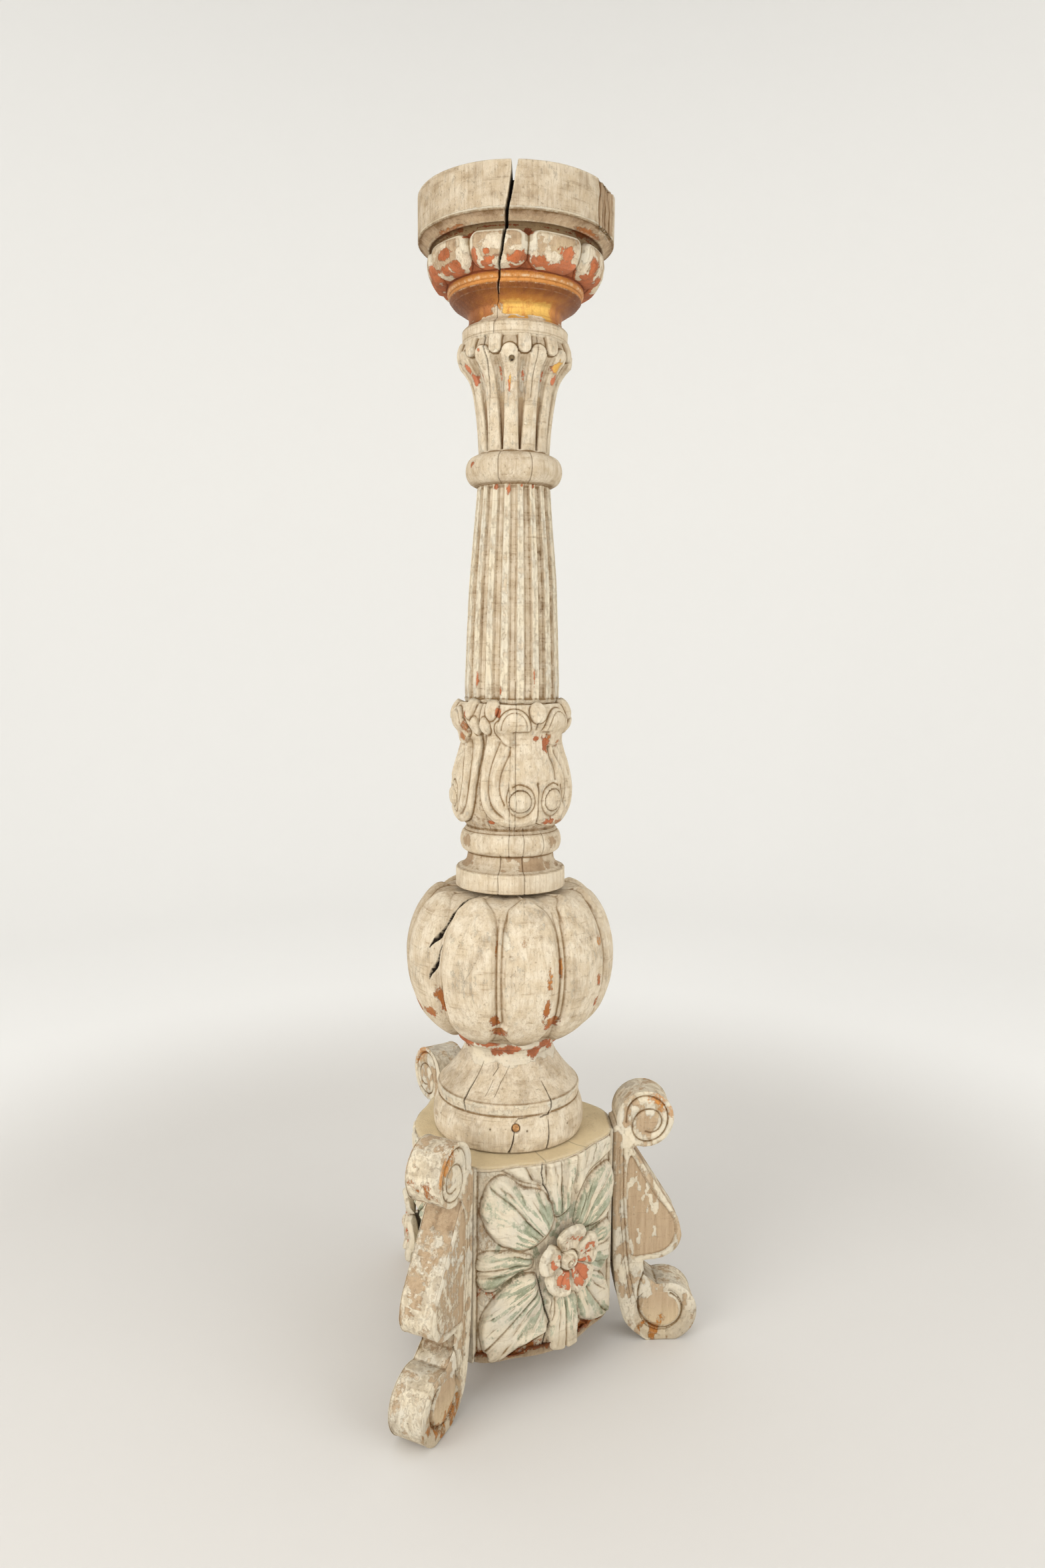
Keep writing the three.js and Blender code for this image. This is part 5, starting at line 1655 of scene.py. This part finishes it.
    g.feed(g.shader.inputs["Base Color"], colour)
    g.feed(g.shader.inputs["Roughness"], g.math("SUBTRACT", 0.84, g.math("MULTIPLY", gold_flakes, 0.38)))
    g.feed(g.shader.inputs["Metallic"], g.math("MULTIPLY", gold_flakes, 0.3))
    g.shader.inputs["Specular IOR Level"].default_value = 0.25
    layers = g.math("ADD", g.math("MULTIPLY", chalk_flakes, 0.8), g.math("ADD", bole_flakes, gold_flakes))
    layers = g.math("MULTIPLY", g.math("MINIMUM", layers, 1.3), 0.45)
    layers = g.math("SUBTRACT", layers, g.math("MULTIPLY", bare_flakes, 0.3))
    relief = g.math("ADD", layers, g.math("MULTIPLY", fibre, 0.55))
    relief = g.math("ADD", relief, g.math("MULTIPLY", grain, 0.55))
    relief = g.math("SUBTRACT", relief, g.math("MULTIPLY", scratches, 0.35))
    relief = g.math("ADD", relief, g.math("MULTIPLY", speck, 0.5))
    relief = g.math("ADD", relief, g.math("MULTIPLY", flake, 0.5))
    relief = g.math("SUBTRACT", relief, g.math("MULTIPLY", g.span(pits, 0.58, 0.70), 0.35))
    g.feed(g.shader.inputs["Normal"], g.bump(relief, 0.0009, 0.85))
    return g.material


def old_iron():
    g = Graph("iron")
    rust = g.noise(260, 6, 0.65)
    scale = g.noise(900, 4, 0.6, 4.4)
    colour = g.mix(g.span(rust, 0.42, 0.62), rgb(58, 52, 47), rgb(112, 72, 46))
    colour = g.mix(g.math("MULTIPLY", g.span(scale, 0.55, 0.7), 0.5), colour, rgb(148, 104, 70))
    g.feed(g.shader.inputs["Base Color"], colour)
    g.feed(g.shader.inputs["Metallic"], g.span(rust, 0.6, 0.4, 0.15, 0.75))
    g.feed(g.shader.inputs["Roughness"], g.span(rust, 0.35, 0.65, 0.5, 0.85))
    g.feed(g.shader.inputs["Normal"], g.bump(g.math("ADD", rust, scale), 0.0003, 0.7))
    return g.material


def peg_wood():
    g = Graph("peg_wood")
    pores = g.noise((1400, 1400, 1400), 4, 0.6)
    rings = g.noise((500, 90, 500), 3, 0.5, 2.2)
    colour = g.mix(g.span(rings, 0.4, 0.6), rgb(196, 148, 92), rgb(160, 112, 66))
    colour = g.mix(g.math("MULTIPLY", g.span(pores, 0.55, 0.7), 0.5), colour, rgb(112, 76, 46))
    g.feed(g.shader.inputs["Base Color"], colour)
    g.shader.inputs["Roughness"].default_value = 0.75
    g.feed(g.shader.inputs["Normal"], g.bump(pores, 0.0003, 0.6))
    return g.material


def paper():
    """Painted shade greys the floor underfoot; painted light makes it paler further out and up the wall."""
    g = Graph("studio_paper")
    reach = g.add("ShaderNodeVectorMath", operation="LENGTH")
    g.feed(reach.inputs[0], g.place)
    # Painted shade near the candlestick, fading to painted light between half a metre and a metre out.
    wall = g.span(reach.outputs["Value"], 0.5, 1.0)
    g.feed(g.shader.inputs["Base Color"], g.mix(wall, rgb(219, 216, 211), rgb(249, 248, 245)))
    g.shader.inputs["Roughness"].default_value = 0.95
    g.shader.inputs["Specular IOR Level"].default_value = 0.1
    return g.material


# ------------------------------------------------------------------ the candlestick

bleached = aged_wood("bleached_wood")
polychrome = aged_wood("polychrome_wood", 0.3)
iron = old_iron()

make_pan(bleached)
make_stem(bleached)
make_ball(bleached)
make_moulding(bleached)
make_block(polychrome)
for order, (name, angle) in enumerate(ROSETTE_ANGLES.items()):
    make_rosette(name, angle, order, polychrome)
for order, (name, angle) in enumerate(LEG_ANGLES.items()):
    make_leg(name, angle, order, polychrome)
    side = name.split("_")[1]
    for where, (height, waist) in NAIL_HEIGHTS.items():
        make_nail(f"leg_nail_{side}_{where}", angle, height, waist, order, iron)
make_capital_nail(iron)
make_peg(peg_wood())
make_pricket(iron)


# ------------------------------------------------------------------ studio

SWEEP_RADIUS = 2.6
SWEEP_BEND = 1.1
SWEEP_HEIGHT = 3.2


def make_sweep():
    """A floor that curves up into a round wall, so that every view has the same plain ground."""
    bend_steps = 16
    rows = [(0.001, 0), (0.5, 0), (1.0, 0), (SWEEP_RADIUS - SWEEP_BEND, 0)]
    for i in range(1, bend_steps + 1):
        t = math.pi / 2 * i / bend_steps
        rows.append((SWEEP_RADIUS - SWEEP_BEND + SWEEP_BEND * math.sin(t), SWEEP_BEND * (1 - math.cos(t))))
    rows.append((SWEEP_RADIUS, SWEEP_HEIGHT))
    sides = 96
    angles = np.linspace(0, 2 * np.pi, sides, endpoint=False)
    points = [(r * math.cos(a), r * math.sin(a), z) for r, z in rows for a in angles]
    index = np.arange(len(rows) * sides).reshape(len(rows), sides)
    quads = np.stack([index[:-1], np.roll(index[:-1], -1, 1), np.roll(index[1:], -1, 1), index[1:]], -1)
    mesh = bpy.data.meshes.new("sweep")
    mesh.from_pydata(points, [], quads[:, :, ::-1].reshape(-1, 4).tolist())
    mesh.materials.append(paper())
    mesh.shade_smooth()
    sweep = bpy.data.objects.new("sweep", mesh)
    bpy.context.scene.collection.objects.link(sweep)


def area_light(name, place, aim, size, power, colour=(1, 1, 1)):
    light = bpy.data.lights.new(name, "AREA")
    light.shape = "RECTANGLE"
    light.size, light.size_y = size
    light.energy = power
    light.color = colour
    lamp = bpy.data.objects.new(name, light)
    lamp.location = place
    lamp.rotation_euler = (Vector(aim) - Vector(place)).to_track_quat("-Z", "Y").to_euler()
    bpy.context.scene.collection.objects.link(lamp)


def make_camera():
    """The camera stands in front, a little above the middle, and looks slightly down."""
    pitch, yaw, roll = (math.radians(v) for v in (6.942, 0.601, 0.585))
    ahead = Vector((math.sin(yaw) * math.cos(pitch), math.cos(yaw) * math.cos(pitch), -math.sin(pitch)))
    right = Vector((math.cos(yaw), -math.sin(yaw), 0))
    up = Vector((math.sin(yaw) * math.sin(pitch), math.cos(yaw) * math.sin(pitch), math.cos(pitch)))
    tilted_right = right * math.cos(roll) + up * math.sin(roll)
    tilted_up = up * math.cos(roll) - right * math.sin(roll)
    turn = Matrix((tilted_right, tilted_up, -ahead)).transposed().to_4x4()
    place = Matrix.Translation(Vector((0, -0.8541, 0.5693)))
    data = bpy.data.cameras.new("camera")
    data.lens = 25.05
    data.sensor_width = data.sensor_height = 36
    data.sensor_fit = "AUTO"
    camera = bpy.data.objects.new("camera", data)
    camera.matrix_world = Matrix.Rotation(math.radians(-3.12), 4, "Z") @ place @ turn
    bpy.context.scene.collection.objects.link(camera)
    bpy.context.scene.camera = camera


make_sweep()
make_camera()
area_light("window", (-1.15, -1.15, 0.88), (0, 0, 0.45), (1.15, 1.15), 16.5, (1.0, 0.992, 0.982))
area_light("fill", (1.15, -1.0, 0.69), (0, 0, 0.4), (1.15, 1.15), 9.2, (0.99, 0.995, 1.0))
area_light("sky", (0, 0.2, 2.9), (0, 0, 0), (2.4, 2.4), 13, (0.99, 0.995, 1.0))
world = bpy.data.worlds.new("studio")
world.use_nodes = True
world.node_tree.nodes["Background"].inputs["Color"].default_value = (1.0, 0.992, 0.984, 1)
world.node_tree.nodes["Background"].inputs["Strength"].default_value = 0.57
bpy.context.scene.world = world
bpy.context.scene.view_settings.view_transform = "Standard"
